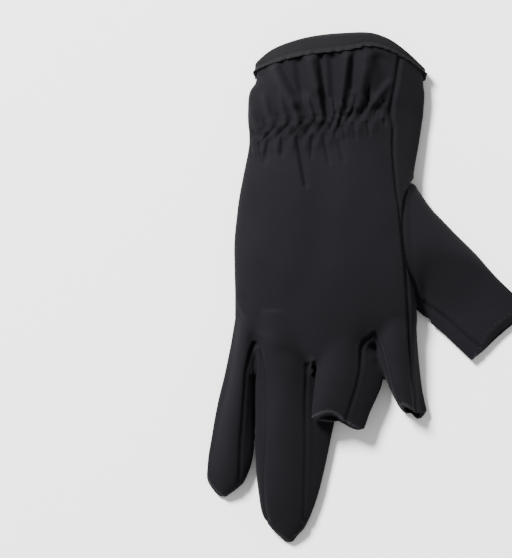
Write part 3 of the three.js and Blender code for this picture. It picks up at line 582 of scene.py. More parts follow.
def relaxed(points, edges, rounds, weight):
    """Points drawn towards their neighbours' middle, as far as each one's weight says."""
    count = len(points)
    a, b = edges[:, 0], edges[:, 1]
    degree = np.bincount(a, minlength=count) + np.bincount(b, minlength=count)
    for _ in range(rounds):
        total = np.stack(
            [
                np.bincount(a, weights=points[b, axis], minlength=count)
                + np.bincount(b, weights=points[a, axis], minlength=count)
                for axis in range(3)
            ],
            axis=1,
        )
        points = points + weight[:, None] * (total / degree[:, None] - points)
    return points


def edges_of(mesh):
    flat = np.empty(len(mesh.edges) * 2, np.int32)
    mesh.edges.foreach_get("vertices", flat)
    return flat.reshape(-1, 2)


def smoothstep(value, low, high):
    u = np.clip((value - low) / (high - low), 0, 1)
    return u * u * (3 - 2 * u)


def between(value, low, full, less, none):
    """1 from full to less, fading to 0 at low and at none."""
    return smoothstep(value, low, full) * (1 - smoothstep(value, less, none))


def tree_of(points):
    """Finds the nearest of many points."""
    tree = KDTree(len(points))
    for i, p in enumerate(points):
        tree.insert(p, i)
    tree.balance()
    return tree


def distances(points, tree):
    return np.array([tree.find(p)[2] for p in points])


def surface_of(mesh):
    """Finds the nearest place on a mesh, and where a ray meets it."""
    corners = [Vector(p) for p in points_of(mesh)]
    return BVHTree.FromPolygons(corners, [tuple(polygon.vertices) for polygon in mesh.polygons])


def hand_shares(points):
    """Where points are across and along the hand, as shares of its width and length."""
    return (points[:, 0] - CENTRE[0]) / HAND_WIDTH, (CENTRE[1] - points[:, 1]) / HAND_LENGTH


# Seams: each region is a list of stacks, and a stack a list of outlines with their heights.
def on_hand(points):
    table = np.array(points, float)
    return np.stack([CENTRE[0] + table[:, 0] * HAND_WIDTH, CENTRE[1] - table[:, 1] * HAND_LENGTH], axis=1)


def smooth_path(points, steps=6):
    """A smooth curve through points."""
    table = np.asarray(points, float)
    places = np.arange(len(table))
    at = np.linspace(0, len(table) - 1, (len(table) - 1) * steps + 1)
    rows = np.column_stack([places, table])
    return np.stack([smooth_column(rows, 1, at), smooth_column(rows, 2, at)], axis=1)


def tube_line(tube, name, start, stop, steps):
    shares = np.linspace(start, stop, steps + 1)
    x = section_at(tube, shares)[name][:, 0]
    return placed(tube, x, shares * tube["length"], 0)[:, :2]


def shifted(points, distance):
    return points + np.array([distance, 0])


def grown(outline, distance):
    """An outline moved outwards by a distance, corner by corner."""
    before = outline - np.roll(outline, 1, axis=0)
    after = np.roll(outline, -1, axis=0) - outline
    before /= np.linalg.norm(before, axis=1, keepdims=True)
    after /= np.linalg.norm(after, axis=1, keepdims=True)
    x, y = outline[:, 0], outline[:, 1]
    side = np.sign(np.sum(x * np.roll(y, -1) - np.roll(x, -1) * y))
    along = before + after
    along /= np.linalg.norm(along, axis=1, keepdims=True)
    spread = distance / np.maximum(0.5, np.abs(np.sum(along * after, axis=1)))
    return outline + np.stack([along[:, 1], -along[:, 0]], axis=1) * (side * spread)[:, None]


def stack(levels, growth=0.0):
    """A closed mesh through levels, grown by a distance all round."""
    last = len(levels) - 1
    outlines = []
    for k, (outline, height) in enumerate(levels):
        outline = np.asarray(outline, float)
        flat = grown(outline, growth) if growth else outline
        z = height + (-growth if k == 0 else growth if k == last else 0)
        outlines.append(np.column_stack([flat, np.full(len(flat), z)]))
    rings = np.stack(outlines)
    count, round_ = rings.shape[:2]
    points = rings.reshape(-1, 3)
    faces = side_faces(count, round_)
    for i, turned in ((0, True), (count - 1, False)):
        loop = [Vector((p[0], p[1], 0)) for p in rings[i]]
        for triangle in tessellate_polygon([loop]):
            corners = [i * round_ + v for v in triangle]
            faces.append(tuple(reversed(corners)) if turned else tuple(corners))
    mesh = bpy.data.meshes.new("stack")
    mesh.from_pydata((points * MM).tolist(), [], faces)
    return outward(mesh)


def region_mesh(region, growth=0.0):
    meshes = [stack(levels, growth) for levels in region]
    whole = meshes[0]
    for other in meshes[1:]:
        whole = boolean(whole, other, "UNION")
    return whole


ABOVE = 40
BELOW = -2
thumb_reach = on_hand([(0.57, 0.9), (0.92, 1.3), (1.4, 1.0), (1.4, 0.3), (0.6, 0.3)])
thumb_back = np.concatenate([smooth_path(on_hand([row[:2] for row in THUMB_SEAM])), thumb_reach])
thumb_palm = np.concatenate([smooth_path(on_hand([row[2:] for row in THUMB_SEAM])), thumb_reach])
thumb_region = [[
    (thumb_palm, BELOW), (thumb_palm, THUMB_SLANT[0]), (thumb_back, THUMB_SLANT[1]), (thumb_back, ABOVE),
]]

pinky_ring_outline = np.concatenate([
    smooth_path(on_hand([(-0.42, 1.0), (-0.405, 0.98), (-0.389, 0.971), (-0.373, 0.98), (-0.36, 1.0)]), 4),
    tube_line(RING, "corner_left", 0.26, 0.9, 20),
    on_hand([(-0.356, 1.541), (-0.4, 1.459), (-0.439, 1.459)]),
    tube_line(PINKY, "corner_right", 0.92, 0.32, 16),
])
pinky_ring_region = [[(pinky_ring_outline, SEAM_RISE), (pinky_ring_outline, ABOVE)]]

ring_corner = tube_line(RING, "corner_right", 0.9, 0.3, 20)
past_ring = shifted(tube_line(RING, "right", 0.6, 0.93, 10), STRIP_PAST_RING)
under_middle = np.concatenate([
    on_hand([(-0.105, 1.0), (-0.04, 1.0)]),
    shifted(tube_line(MIDDLE, "bottom_left", 0.5, 1.08, 4), STRIP_UNDER_MIDDLE),
    past_ring,
    ring_corner,
])
beside_middle = np.concatenate([
    on_hand([(-0.105, 1.04), (-0.09, 1.028)]),
    shifted(tube_line(MIDDLE, "left", 0.5, 1.08, 4), -STRIP_BESIDE_MIDDLE),
    past_ring,
    ring_corner,
])
ring_middle_region = [
    [(under_middle, SEAM_RISE), (under_middle, OUTER_SEAM_RISE - SEAM_GAP)],
    [(beside_middle, SEAM_RISE), (beside_middle, ABOVE)],
]

middle_index_split = on_hand([(0.245, 0.95), (0.27, 1.0), (0.33, 1.1), (0.33, 1.3)])
middle_side = np.concatenate([
    middle_index_split, tube_line(MIDDLE, "corner_right", 1.1, 0.3, 16), on_hand([(0.21, 0.962)]),
])
index_side = np.concatenate([
    middle_index_split, tube_line(INDEX, "corner_left", 1.15, 0.28, 16), on_hand([(0.262, 0.94)]),
])
middle_index_region = [
    [(middle_side, MIDDLE_STRIP_RISE), (middle_side, ABOVE)],
    [(index_side, SEAM_RISE), (index_side, ABOVE)],
]

back_outline = np.concatenate([
    on_hand([(-0.8, -0.1), (0.44, -0.1)]),
    smooth_path(on_hand(BACK_SEAM), 4),
    on_hand([(0.49, 1.8), (-0.8, 1.8)]),
])
little_side = on_hand([(-0.8, -0.1), (-0.1, -0.1), (-0.1, 1.8), (-0.8, 1.8)])
back_region = [
    [(back_outline, OUTER_SEAM_RISE), (back_outline, ABOVE)],
    [(little_side, SEAM_RISE), (little_side, ABOVE)],
]
CUTS = (
    ("thumb_panel", thumb_region),
    ("fourchette_pinky_ring", pinky_ring_region),
    ("fourchette_ring_middle", ring_middle_region),
    ("fourchette_middle_index", middle_index_region),
    ("back_panel", back_region),
)


def panels_of(mesh):
    """The panels that the seams cut a mesh into, by node name."""
    panels = {}
    rest = mesh
    for name, region in CUTS:
        panels[name] = boolean(rest, region_mesh(region), "INTERSECT")
        rest = boolean(rest, region_mesh(region, SEAM_GAP), "DIFFERENCE")
    panels["palm_panel"] = rest
    return panels


# Folds
def line_bump(across, along, row, width, height, tail):
    """A ridge of soft outline along a straight line."""
    start = np.array([row[0] * HAND_WIDTH, row[1] * HAND_LENGTH])
    run = np.array([row[2] * HAND_WIDTH, row[3] * HAND_LENGTH]) - start
    length = np.hypot(*run)
    dx = across * HAND_WIDTH - start[0]
    dy = along * HAND_LENGTH - start[1]
    down = (dx * run[0] + dy * run[1]) / length
    off = (dx * run[1] - dy * run[0]) / length / width
    past = np.maximum(np.maximum(-down, down - length), 0) / tail
    return height * np.exp(-off * off - past * past)


def fold_rise(points):
    """Height of the folds and puckers over the back of the hand."""
    across, along = hand_shares(points)
    rise = np.zeros(len(points))
    # where ridges meet, or valleys meet, the higher or deeper one counts
    for sign in (1, -1):
        total = np.zeros(len(points))
        for row in FOLDS:
            if row[5] * sign > 0:
                height = FOLD_GAIN * abs(row[5])
                total += line_bump(across, along, row, row[4], height, row[4] * FOLD_TAIL) ** FOLD_MEET
        rise += sign * total ** (1 / FOLD_MEET)
    middles = [((a + c) / 2, (b + d) / 2) for a, b, c, d in PUCKERS]
    off_line = (along - smooth_column(middles, 1, across)) * HAND_LENGTH
    rise -= BAND_DEPTH * np.exp(-((off_line / BAND_REACH) ** 2)) * (1 - smoothstep(across, *BAND_END))
    nick = NICK_LENGTH / HAND_LENGTH
    lean, end_lean = NICK_LEAN
    for row in PUCKERS:
        rise += line_bump(across, along, row, PUCKER_WIDTH, PUCKER_RISE, 1.0)
        longer = 1 + 0.5 * math.sin(97 * row[0])  # no two creases are of one length
        low = (row[0] + lean, row[1] + 0.002, row[0] + end_lean * longer, row[1] + nick * longer)
        high = (row[2], row[3] - 0.004, row[2] - end_lean * longer, row[3] - 0.6 * nick * longer)
        rise += line_bump(across, along, low, NICK_WIDTH, NICK_DEPTH, 1.5)
        rise += line_bump(across, along, high, NICK_WIDTH, NICK_DEPTH, 1.2)
    # a sharp crease between two puckers, and a soft swelling at both its ends
    for row, after in zip(PUCKERS, PUCKERS[1:]):
        low = ((row[0] + after[0]) / 2, (row[1] + after[1]) / 2)
        high = ((row[2] + after[2]) / 2, (row[3] + after[3]) / 2)
        crease = (low[0], low[1] - 0.004, high[0], high[1] + 0.004)
        rise += line_bump(across, along, crease, CREASE_WIDTH, CREASE_DEPTH, 0.8)
        below = (low[0], low[1] + 0.012, low[0] - 0.004, low[1] + 0.8 * nick)
        over = (high[0], high[1] - 0.012, high[0] - 0.004, high[1] - 0.6 * nick)
        rise += line_bump(across, along, below, TONGUE_WIDTH, TONGUE_RISE, 3.0)
        rise += line_bump(across, along, over, 0.8 * TONGUE_WIDTH, TONGUE_RISE, 2.0)
    rim = smooth_column(HAND["lines"][0]["rows"], 1, across) + TAPE_HOLDS / HAND_LENGTH
    return rise * smoothstep(along, rim, rim + 0.03)


def ripple(points, seed, waves=16, shortest=14.0, longest=45.0):
    """A gentle unevenness, from waves in fixed random directions."""
    chance = np.random.default_rng(seed)
    total = np.zeros(len(points))
    for _ in range(waves):
        direction = chance.normal(size=3)
        direction /= np.linalg.norm(direction)
        length = chance.uniform(shortest, longest)
        total += np.sin(points @ direction * (2 * math.pi / length) + chance.uniform(0, 2 * math.pi))
    return total / math.sqrt(waves)


def sagged(points, edges, across, spread, flat):
    """Lets the thumb lose height towards its tip, but not below flat."""
    turn = math.radians(THUMB["swing"])
    x = points[:, 0] - CENTRE[0] - THUMB["root"][0] * HAND_WIDTH
    y = points[:, 1] - CENTRE[1] + THUMB["root"][1] * HAND_LENGTH
    side = x * math.cos(turn) + y * math.sin(turn)
    down = x * math.sin(turn) - y * math.cos(turn)
    beyond = (down - smooth_column(THUMB_BEND, 1, side)) / SAG_EASE
    past = SAG_EASE * np.log1p(np.exp(np.clip(beyond, -30, 30)))
    sag = THUMB_SAG * (1 - (1 - np.clip(past / SAG_LENGTH, 0, 1)) ** SAG_CURVE)
    sag *= smoothstep(across, *SAG_ACROSS) * (points[:, 2] > flat)
    points[:, 2] -= sag * (points[:, 2] - flat)
    softer = smoothstep(across, 0.52, 0.6) * smoothstep(past, 2, 8) * (1 - smoothstep(down, 78, 84))
    return relaxed(points, edges, round(EDGE_ROUNDS * spread), 0.5 * softer)


def shaped(mesh, folds, rounds, voxel, flat):
    """Softens a mesh's finger roots and lays the folds on it; the thumb doesn't sag below flat."""
    points, edges = points_of(mesh), edges_of(mesh)
    spread = (VOXEL / voxel) ** 2  # a coarser mesh needs fewer rounds to soften as much
    across, along = hand_shares(points)
    points = relaxed(points, edges, rounds, np.full(len(points), 0.5))
    points = sagged(points, edges, across, spread, flat)
    for area_rounds, sides, lengths, heights in SOFTER:
        area = between(along, *lengths) * between(across, *sides) * smoothstep(points[:, 2], *heights)
        points = relaxed(points, edges, round(area_rounds * spread), 0.5 * area)
    set_points(mesh, points)
    normals = normals_of(mesh)
    # folds lie on what faces up and is well off the floor
    top = smoothstep(normals[:, 2], 0.1, 0.6) * smoothstep(points[:, 2], 4, 9)
    points[:, 2] += folds * fold_rise(points) * top * (along < FOLDS_END)
    for row in BUNCHES:
        bunch = line_bump(across, along, row, row[4], row[5], row[4])
        points[:, 2] += bunch * smoothstep(normals[:, 2], 0.1, 0.5)
    lift = PRINT_RISE * (1 - smoothstep(points[:, 2], 0, 3))
    points += normals * (RIPPLE_RISE * ripple(points, 4) * smoothstep(points[:, 2], 0.5, 3))[:, None]
    points[:, 2] = np.maximum(points[:, 2], 0) + lift
    set_points(mesh, points)
    return mesh


# Skin
def outer_tubes():
    yield tube_rings(HAND, aims_round(150, 16, 70), np.linspace(0, 1, 220))
    for finger in FINGERS:
        yield tube_rings(finger, aims_round(40, 12, 24), np.linspace(0, 1, 90))
    yield tube_rings(THUMB, aims_round(60, 14, 36), np.linspace(0, 1, 100))


def hollow_tubes():
    shares = np.linspace(0, 1, 120)
    reach = np.where(shares == 0, -PAST_RIM, np.where(shares == 1, -CLOTH, 0.0))
    yield tube_rings(HAND, aims_round(90, 10, 40), shares, CLOTH, reach)
    for finger in FINGERS:
        is_open = "lines" in finger
        shares = np.linspace(0, 1 if is_open else CLOSED_AT, 60)
        reach = np.where(shares == 1, PAST_END, 0.0)
        yield tube_rings(finger, aims_round(30, 8, 18), shares, CLOTH, reach)
    shares = np.linspace(0, 1, 60)
    yield tube_rings(THUMB, aims_round(40, 10, 24), shares, CLOTH, np.where(shares == 1, PAST_END, 0.0))


outer = shaped(remeshed("outer", outer_tubes(), VOXEL), 1.0, 4, VOXEL, FLAT_RISE)
hollow = shaped(remeshed("hollow", hollow_tubes(), HOLLOW_VOXEL), 0.5, 1, HOLLOW_VOXEL, FLAT_RISE - CLOTH)


def seam_points(mesh):
    """The points where the seams' cuts cross a mesh."""
    own = tree_of(points_of(mesh))
    on_panels = np.concatenate([points_of(panel) for panel in panels_of(mesh).values()])
    return on_panels[distances(on_panels, own) > NOT_OWN]


def with_seams(mesh):
    """Draws the cloth in along the seams and lets it stand up beside them."""
    points, normals = points_of(mesh), normals_of(mesh)
    skin_surface = surface_of(mesh)
    side_seam = []
    for x, y in smooth_path(on_hand(THUMB_SIDE_SEAM), 40):
        place = skin_surface.ray_cast(Vector((x, y, 60)), Vector((0, 0, -1)))[0]
        if place is not None:
            side_seam.append(place)
    seams = np.concatenate([seam_points(mesh.copy()), np.array(side_seam)])
    distance = distances(points, tree_of(seams))
    drawn = -SEAM_DEPTH * np.exp(-((distance / SEAM_REACH) ** 2))
    puffed = SEAM_PUFF * np.exp(-(((distance - PUFF_AT) / PUFF_REACH) ** 2))
    flat = smoothstep(points[:, 2], 0.4, 2.0)  # what lies on the floor stays flat
    pull = 1 - (1 - FINGER_SEAMS) * smoothstep(hand_shares(points)[1], 0.97, 1.06)
    points = points + normals * ((drawn + puffed) * flat * pull)[:, None]
    set_points(mesh, points)
    return mesh


outer = with_seams(outer)
skin = boolean(outer, hollow, "DIFFERENCE")
panels = panels_of(skin)


# Materials
def linear(code):
    """sRGB hex to linear colour."""
    parts = [int(code[i:i + 2], 16) / 255 for i in (1, 3, 5)]
    return [c / 12.92 if c <= 0.04045 else ((c + 0.055) / 1.055) ** 2.4 for c in parts] + [1.0]


def add(tree, kind, inputs=None, **settings):
    """Adds a node with its settings; an input is a value or another node's socket."""
    node = tree.nodes.new(kind)
    for name, value in settings.items():
        setattr(node, name, value)
    for name, value in (inputs or {}).items():
        socket = node.inputs[name]
        if isinstance(value, bpy.types.NodeSocket):
            tree.links.new(value, socket)
        else:
            socket.default_value = value
    return node


def new_material(name):
    made = bpy.data.materials.new(name)
    made.use_nodes = True
    made.node_tree.nodes.clear()
    return made, made.node_tree


def surface(name, tones, grain, finish, edge=None):
    """A surface of two mottled tones, with an optional grain that stands up and a paler cut edge.

    Tones: size of a patch in metres, detail, dark, light. Grain: size, detail, strength, height.
    """
    made, tree = new_material(name)
    place = add(tree, "ShaderNodeTexCoord").outputs["Object"]
    patch, detail, dark, light = tones
    cloud = add(tree, "ShaderNodeTexNoise", {"Vector": place, "Scale": 1 / patch, "Detail": detail})
    tone = add(tree, "ShaderNodeMix", {
        "Factor": cloud.outputs["Fac"], 6: linear(dark), 7: linear(light),
    }, data_type="RGBA")
    if edge:
        cut = add(tree, "ShaderNodeAttribute", attribute_name="cut_edge")
        tone = add(tree, "ShaderNodeMix", {
            "Factor": cut.outputs["Fac"], 6: tone.outputs[2], 7: linear(edge),
        }, data_type="RGBA")
    shader = add(tree, "ShaderNodeBsdfPrincipled", {"Base Color": tone.outputs[2], **finish})
    if grain:
        size, detail, strength, height = grain
        bumps = add(tree, "ShaderNodeTexNoise", {"Vector": place, "Scale": 1 / size, "Detail": detail})
        bump = add(tree, "ShaderNodeBump", {
            "Height": bumps.outputs["Fac"], "Strength": strength, "Distance": height,
        })
        tree.links.new(bump.outputs["Normal"], shader.inputs["Normal"])
    add(tree, "ShaderNodeOutputMaterial", {"Surface": shader.outputs["BSDF"]})
    return made


# Foam rubber faced with a brushed knit. The nap takes all shine off it and leaves a dull, warm black with a
# faint sheen, in patches of 35 mm. The loops are under half a millimetre, too fine to show at this distance,
# so the grain is drawn coarser, at 1.2 mm. The cut edge shows the dark grey foam.
cloth_tones, cloth_grain = (0.035, 4.0, "#0a090c", "#0f0e12"), (0.0012, 3.0, 0.35, 0.00025)
cloth_look = surface("brushed_knit_on_foam_rubber", cloth_tones, cloth_grain, {
    "Roughness": 0.9, "IOR": 1.48, "Specular IOR Level": 0.1,
    "Sheen Weight": 0.03, "Sheen Roughness": 0.5, "Sheen Tint": linear("#b8b6c4"),
}, "#2c2b30")

# Woven stretch tape: flatter and a shade lighter than the cloth, so that the band round the rim stands out.
# Its rib is drawn at 0.9 mm, coarser than the real half millimetre.
tape_tones, tape_grain = (0.012, 4.0, "#0e0d10", "#141315"), (0.0009, 2.0, 0.4, 0.0002)
tape_look = surface("woven_stretch_tape", tape_tones, tape_grain, {
    "Roughness": 0.85, "IOR": 1.5, "Specular IOR Level": 0.12, "Sheen Weight": 0.03, "Sheen Roughness": 0.4,
})

# Spun polyester: a little glossier than the cloth, so that each stitch catches the light as a small spot.
thread_look = surface("spun_polyester_thread", (0.0004, 2.0, "#0c0c0e", "#19191b"), None, {
    "Roughness": 0.6, "IOR": 1.5, "Specular IOR Level": 0.2,
})

# Screen-printed silicone rubber: dark grey dots with a satin skin on the dull palm.
print_look = surface("printed_silicone_rubber", (0.02, 3.0, "#3f4144", "#515357"), None, {
    "Roughness": 0.45, "IOR": 1.41,
})


# Pieces
def finish_piece(name, mesh, look, node=None, sharp=50):
    mesh.materials.clear()
    mesh.materials.append(look)
    work = bmesh.new()
    work.from_mesh(mesh)
    bmesh.ops.remove_doubles(work, verts=work.verts, dist=1e-6)
    bmesh.ops.dissolve_degenerate(work, edges=work.edges, dist=1e-6)
    for face in work.faces:
        face.smooth = True
        face.material_index = 0
    for edge in work.edges:
        edge.smooth = not (len(edge.link_faces) == 2 and edge.calc_face_angle(0) > math.radians(sharp))
    work.to_mesh(mesh)
    work.free()
    piece = linked(name, mesh)
    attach(piece, "root")
    if node:
        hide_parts(node)
    return piece


def with_cut_edges(mesh, tree):
    """Marks how near each point is to an open end's edge, for the cloth's colour."""
    distance = distances(points_of(mesh), tree)
    mark = mesh.attributes.new("cut_edge", "FLOAT", "POINT")
    mark.data.foreach_set("value", np.exp(-((distance / CUT_EDGE_REACH) ** 2)).astype(np.float32))


edge_points = np.concatenate([
    tube_rings(tube, aims_round(150, 40, 90), [1.0], inset)[0]
    for tube in (THUMB, MIDDLE, INDEX) for inset in (0, 1)
])
edge_tree = tree_of(edge_points)
for node, mesh in panels.items():
    with_cut_edges(mesh, edge_tree)
    finish_piece(node + "_cloth", mesh, cloth_look, node)

tape_aims = aims_round(260, 20, 150)
tape_downs = np.arange(0, 12)
rim_skin = tube_rings(HAND, tape_aims, tape_downs / HAND_LENGTH)
rim_below = tube_rings(HAND, tape_aims, tape_downs / HAND_LENGTH, 1.0)
rim_out = rim_skin - rim_below
around = np.cumsum(np.linalg.norm(np.diff(rim_skin[0], axis=0, prepend=rim_skin[0][:1]), axis=1))
waves = 2 * math.pi * np.round(around[-1] / RUFFLE_PITCH) / around[-1]
ruffle = np.sin(waves * around) * (0.6 + 0.4 * np.sin(0.37 * waves * around))
rim_across = (rim_skin[0][:, 0] - CENTRE[0]) / HAND_WIDTH
rim_low = smoothstep(-tape_aims[:, 1], 0.2, 1.0)
tape_width = smooth_column(TAPE_WIDTH, 1, rim_across) * (1 - rim_low) + PALM_TAPE_WIDTH * rim_low
tape_width = np.maximum(tape_width + RUFFLE * ruffle, 1.0)


def by_rim(inset, down):
    """Points round the cuff, inset millimetres below the skin and down from the rim."""
    down = np.full(len(tape_aims), down) if np.isscalar(down) else down
    at = np.clip(down, 0, tape_downs[-1] - 1e-6)
    k = at.astype(int)
    part = (at - k)[:, None]
    n = np.arange(len(at))
    skin_at = rim_skin[k, n] * (1 - part) + rim_skin[k + 1, n] * part
    out_at = rim_out[k, n] * (1 - part) + rim_out[k + 1, n] * part
    points = skin_at - out_at * np.reshape(inset, (-1, 1))
    points[:, 1] += np.maximum(-down, 0)
    return points


def tape_side(off):
    """Rings along one face of the tape, off millimetres outside the face that touches the cloth."""
    rings = []
    for share in np.linspace(1, 0.04, 12):
        down = tape_width * share
        flare = smoothstep(share, 0.62, 1.0) * TAPE_FLARE * (1 + ruffle)
        sunk = STITCH_SINK * np.exp(-(((tape_width - down - STITCH_UP) / 0.5) ** 2)) * (tape_width > 3)
        rings.append(by_rim(-(TAPE_OFF + off + flare * (0.5 + off) - sunk), down))
    half = CLOTH / 2
    for turn in np.linspace(0, math.pi, 9):
        reach = half + TAPE_OFF + off
        inset = half - reach * math.cos(turn)
        down = -math.sin(turn) * (TAPE_FOLD - TAPE_CLOTH + off)
        rings.append(by_rim(inset, down))
    for down in (2.0, 4.0, 6.0):
        rings.append(by_rim(CLOTH + TAPE_OFF + off, down))
    return rings


tape_rings = np.stack(tape_side(TAPE_CLOTH) + tape_side(0.0)[::-1])
tape_points, tape_faces = loft_faces(tape_rings, looped=True)
tape_points[:, 2] = np.maximum(tape_points[:, 2], 0.02)
tape = object_of("tape", tape_points, tape_faces)
tape_mesh = outward(tape.data.copy())
discard(tape)
finish_piece("wrist_binding_tape", tape_mesh, tape_look, "wrist_binding")


# Stitches and grip print
def new_tree(name, inputs):
    """A geometry tree with named inputs, and its two ends."""
    tree = bpy.data.node_groups.new(name, "GeometryNodeTree")
    tree.interface.new_socket("Geometry", in_out="INPUT", socket_type="NodeSocketGeometry")
    for label, kind in inputs:
        tree.interface.new_socket(label, in_out="INPUT", socket_type=kind)
    tree.interface.new_socket("Geometry", in_out="OUTPUT", socket_type="NodeSocketGeometry")
    return tree, add(tree, "NodeGroupInput").outputs


def ended(tree, given, repeated):
    """Ends a tree with its repeated shapes made real and given their material."""
    real = add(tree, "GeometryNodeRealizeInstances", {"Geometry": repeated.outputs["Instances"]})
    look = add(tree, "GeometryNodeSetMaterial", {
        "Geometry": real.outputs["Geometry"], "Material": given["Material"],
    })
    add(tree, "NodeGroupOutput", {"Geometry": look.outputs["Geometry"]})
    return tree


def grown_by(tree, name, points, edges, values):
    """The plain mesh that a geometry tree makes of points and edges."""
    mesh = bpy.data.meshes.new(name)
    mesh.from_pydata((np.asarray(points) * MM).tolist(), edges, [])
    seed = linked(name + "_seed", mesh)
    step = seed.modifiers.new("grow", "NODES")
    step.node_group = tree
    for item in tree.interface.items_tree:
        if item.in_out == "INPUT" and item.name in values:
            step[item.identifier] = values[item.name]
    made = baked(seed)
    discard(seed)
    return made


def running_stitch():
    tree, given = new_tree("running_stitch", (
        ("Pitch", "NodeSocketFloat"), ("Stitch Length", "NodeSocketFloat"), ("Thread", "NodeSocketFloat"),
        ("Material", "NodeSocketMaterial"),
    ))
    path = add(tree, "GeometryNodeMeshToCurve", {"Mesh": given["Geometry"]})
    spaced = add(tree, "GeometryNodeResampleCurve", {
        "Curve": path.outputs["Curve"], "Length": given["Pitch"],
    }, mode="LENGTH")
    bead = add(tree, "GeometryNodeMeshUVSphere", {"Segments": 6, "Rings": 5, "Radius": 0.5})
    shape = add(tree, "ShaderNodeCombineXYZ", {
        "X": given["Stitch Length"], "Y": given["Thread"], "Z": given["Thread"],
    })
    heading = add(tree, "FunctionNodeAlignRotationToVector", {
        "Vector": add(tree, "GeometryNodeInputTangent").outputs["Tangent"],
    }, axis="X")
    sewn = add(tree, "GeometryNodeInstanceOnPoints", {
        "Points": spaced.outputs["Curve"], "Instance": bead.outputs["Mesh"],
        "Rotation": heading.outputs["Rotation"], "Scale": shape.outputs["Vector"],
    })
    return ended(tree, given, sewn)


def dot_print():
    tree, given = new_tree("dot_print", (
        ("Dot Radius", "NodeSocketFloat"), ("Dot Height", "NodeSocketFloat"),
        ("Material", "NodeSocketMaterial"),
    ))
    places = add(tree, "GeometryNodeMeshToPoints", {"Mesh": given["Geometry"]})
    dot = add(tree, "GeometryNodeMeshCylinder", {
        "Vertices": 10, "Radius": given["Dot Radius"], "Depth": given["Dot Height"],
    })
    printed = add(tree, "GeometryNodeInstanceOnPoints", {
        "Points": places.outputs["Points"], "Instance": dot.outputs["Mesh"],
    })
    return ended(tree, given, printed)


def loop_edges(count, closed):
    return [(k, (k + 1) % count) for k in range(count if closed else count - 1)]


stitch_tree = running_stitch()
sewing = {
    "Pitch": STITCH_PITCH * MM, "Stitch Length": STITCH_LENGTH * MM, "Thread": THREAD * MM,
    "Material": thread_look,
}
stitch_line = by_rim(-(TAPE_OFF + TAPE_CLOTH - 0.1), np.maximum(tape_width - STITCH_UP, 0.3))
stitch_line[:, 2] = np.maximum(stitch_line[:, 2], 0.2)
tape_stitches = grown_by(stitch_tree, "tape_stitches", stitch_line, loop_edges(len(stitch_line), True), sewing)
finish_piece("wrist_binding_stitches", tape_stitches, thread_look)

outer_surface = surface_of(outer)


hem_aims = aims_round(90, 16, 60)


def hem_line(tube, first, last):
    """A line round an open end, on the skin."""
    ring = tube_rings(tube, hem_aims, [1.0], 0.0, [-HEM_UP])[0]
    ring = np.roll(ring, -first, axis=0)[: last - first]
    return np.array([outer_surface.find_nearest(Vector(p))[0] for p in ring])


hem = dict(sewing, **{"Pitch": HEM_PITCH * MM})
all_round = len(hem_aims)
# the middle finger's hem shows on its top only, because its underside lies on the ring finger
for tube, name, first, last in (
    (THUMB, "thumb", 0, all_round), (INDEX, "index", 0, all_round), (MIDDLE, "middle", 4, 92),
):
    line = hem_line(tube, first, last)
    made = grown_by(stitch_tree, name, line, loop_edges(len(line), len(line) == all_round), hem)
    finish_piece(name + "_hem_stitches", made, thread_look)

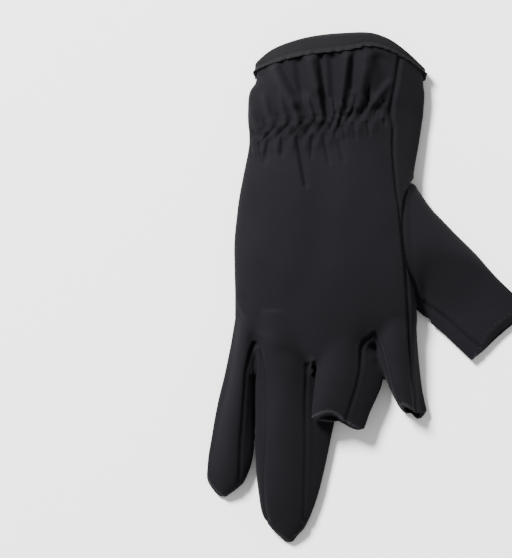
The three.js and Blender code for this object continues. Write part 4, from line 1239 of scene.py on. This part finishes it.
dots = []
round_a_dot = ((-DOT_REST, 0), (DOT_REST, 0), (0, -DOT_REST), (0, DOT_REST), (0, 0))
for row in range(60):
    for column in range(40):
        x = (column + 0.5 * (row % 2)) * DOT_PITCH - 80
        y = row * DOT_PITCH * 0.866 - 120
        across = (x - CENTRE[0]) / HAND_WIDTH
        along = (CENTRE[1] - y) / HAND_LENGTH
        from_middle = ((across - PRINT_MIDDLE[0]) * HAND_WIDTH, (along - PRINT_MIDDLE[1]) * HAND_LENGTH)
        if (from_middle[0] / PRINT_HALF[0]) ** 2 + (from_middle[1] / PRINT_HALF[1]) ** 2 > 1:
            continue
        hits = [outer_surface.ray_cast(Vector((x + dx, y + dy, -5)), Vector((0, 0, 1)), 8)[0]
                for dx, dy in round_a_dot]
        if all(hit is not None and hit.z < PRINT_RISE + 0.05 for hit in hits):
            dots.append((x, y, PRINT_RISE / 2 + 0.02))
dots_mesh = grown_by(dot_print(), "dots", dots, [], {
    "Dot Radius": DOT_RADIUS * MM, "Dot Height": PRINT_RISE * MM, "Material": print_look,
})
finish_piece("palm_grip_print", dots_mesh, print_look, sharp=30)

# Floor, light and camera
FLOOR_HALF = 3000
floor_look, floor_tree = new_material("matt_white_board")
floor_shader = add(floor_tree, "ShaderNodeBsdfPrincipled", {"Base Color": linear("#f7f7f6"), "Roughness": 0.9})
add(floor_tree, "ShaderNodeOutputMaterial", {"Surface": floor_shader.outputs["BSDF"]})
corners = [(x * FLOOR_HALF, y * FLOOR_HALF, 0) for x, y in ((-1, -1), (1, -1), (1, 1), (-1, 1))]
floor = object_of("floor", corners, [(0, 1, 2, 3)])
floor.data.materials.append(floor_look)

world = bpy.context.scene.world or bpy.data.worlds.new("studio")
bpy.context.scene.world = world
world.use_nodes = True
background = world.node_tree.nodes.get("Background") or world.node_tree.nodes.new("ShaderNodeBackground")
background.inputs["Color"].default_value = (1, 1, 1, 1)
background.inputs["Strength"].default_value = 0.66

LAMP_PLACE = (-1.55, 1.95, 2.25)
lamp = bpy.data.lights.new("key_light", "AREA")
lamp.shape = "DISK"
lamp.size = 0.9
lamp.energy = 500
key_light = bpy.data.objects.new("key_light", lamp)
bpy.context.collection.objects.link(key_light)
key_light.location = LAMP_PLACE
key_light.rotation_euler = (-Vector(LAMP_PLACE)).to_track_quat("-Z", "Y").to_euler()

VIEW_HEIGHT = 2.5  # camera above the floor
VIEW_LONG_SIDE = 0.279  # what the photo's 558 rows take in at the glove
VIEW_MIDDLE = (-0.05585, 0.0045)
camera = bpy.data.cameras.new("camera")
camera.sensor_width = 36
camera.lens = camera.sensor_width * VIEW_HEIGHT / VIEW_LONG_SIDE
camera.clip_end = 20
viewer = bpy.data.objects.new("camera", camera)
bpy.context.collection.objects.link(viewer)
viewer.location = (*VIEW_MIDDLE, VIEW_HEIGHT)
bpy.context.scene.camera = viewer
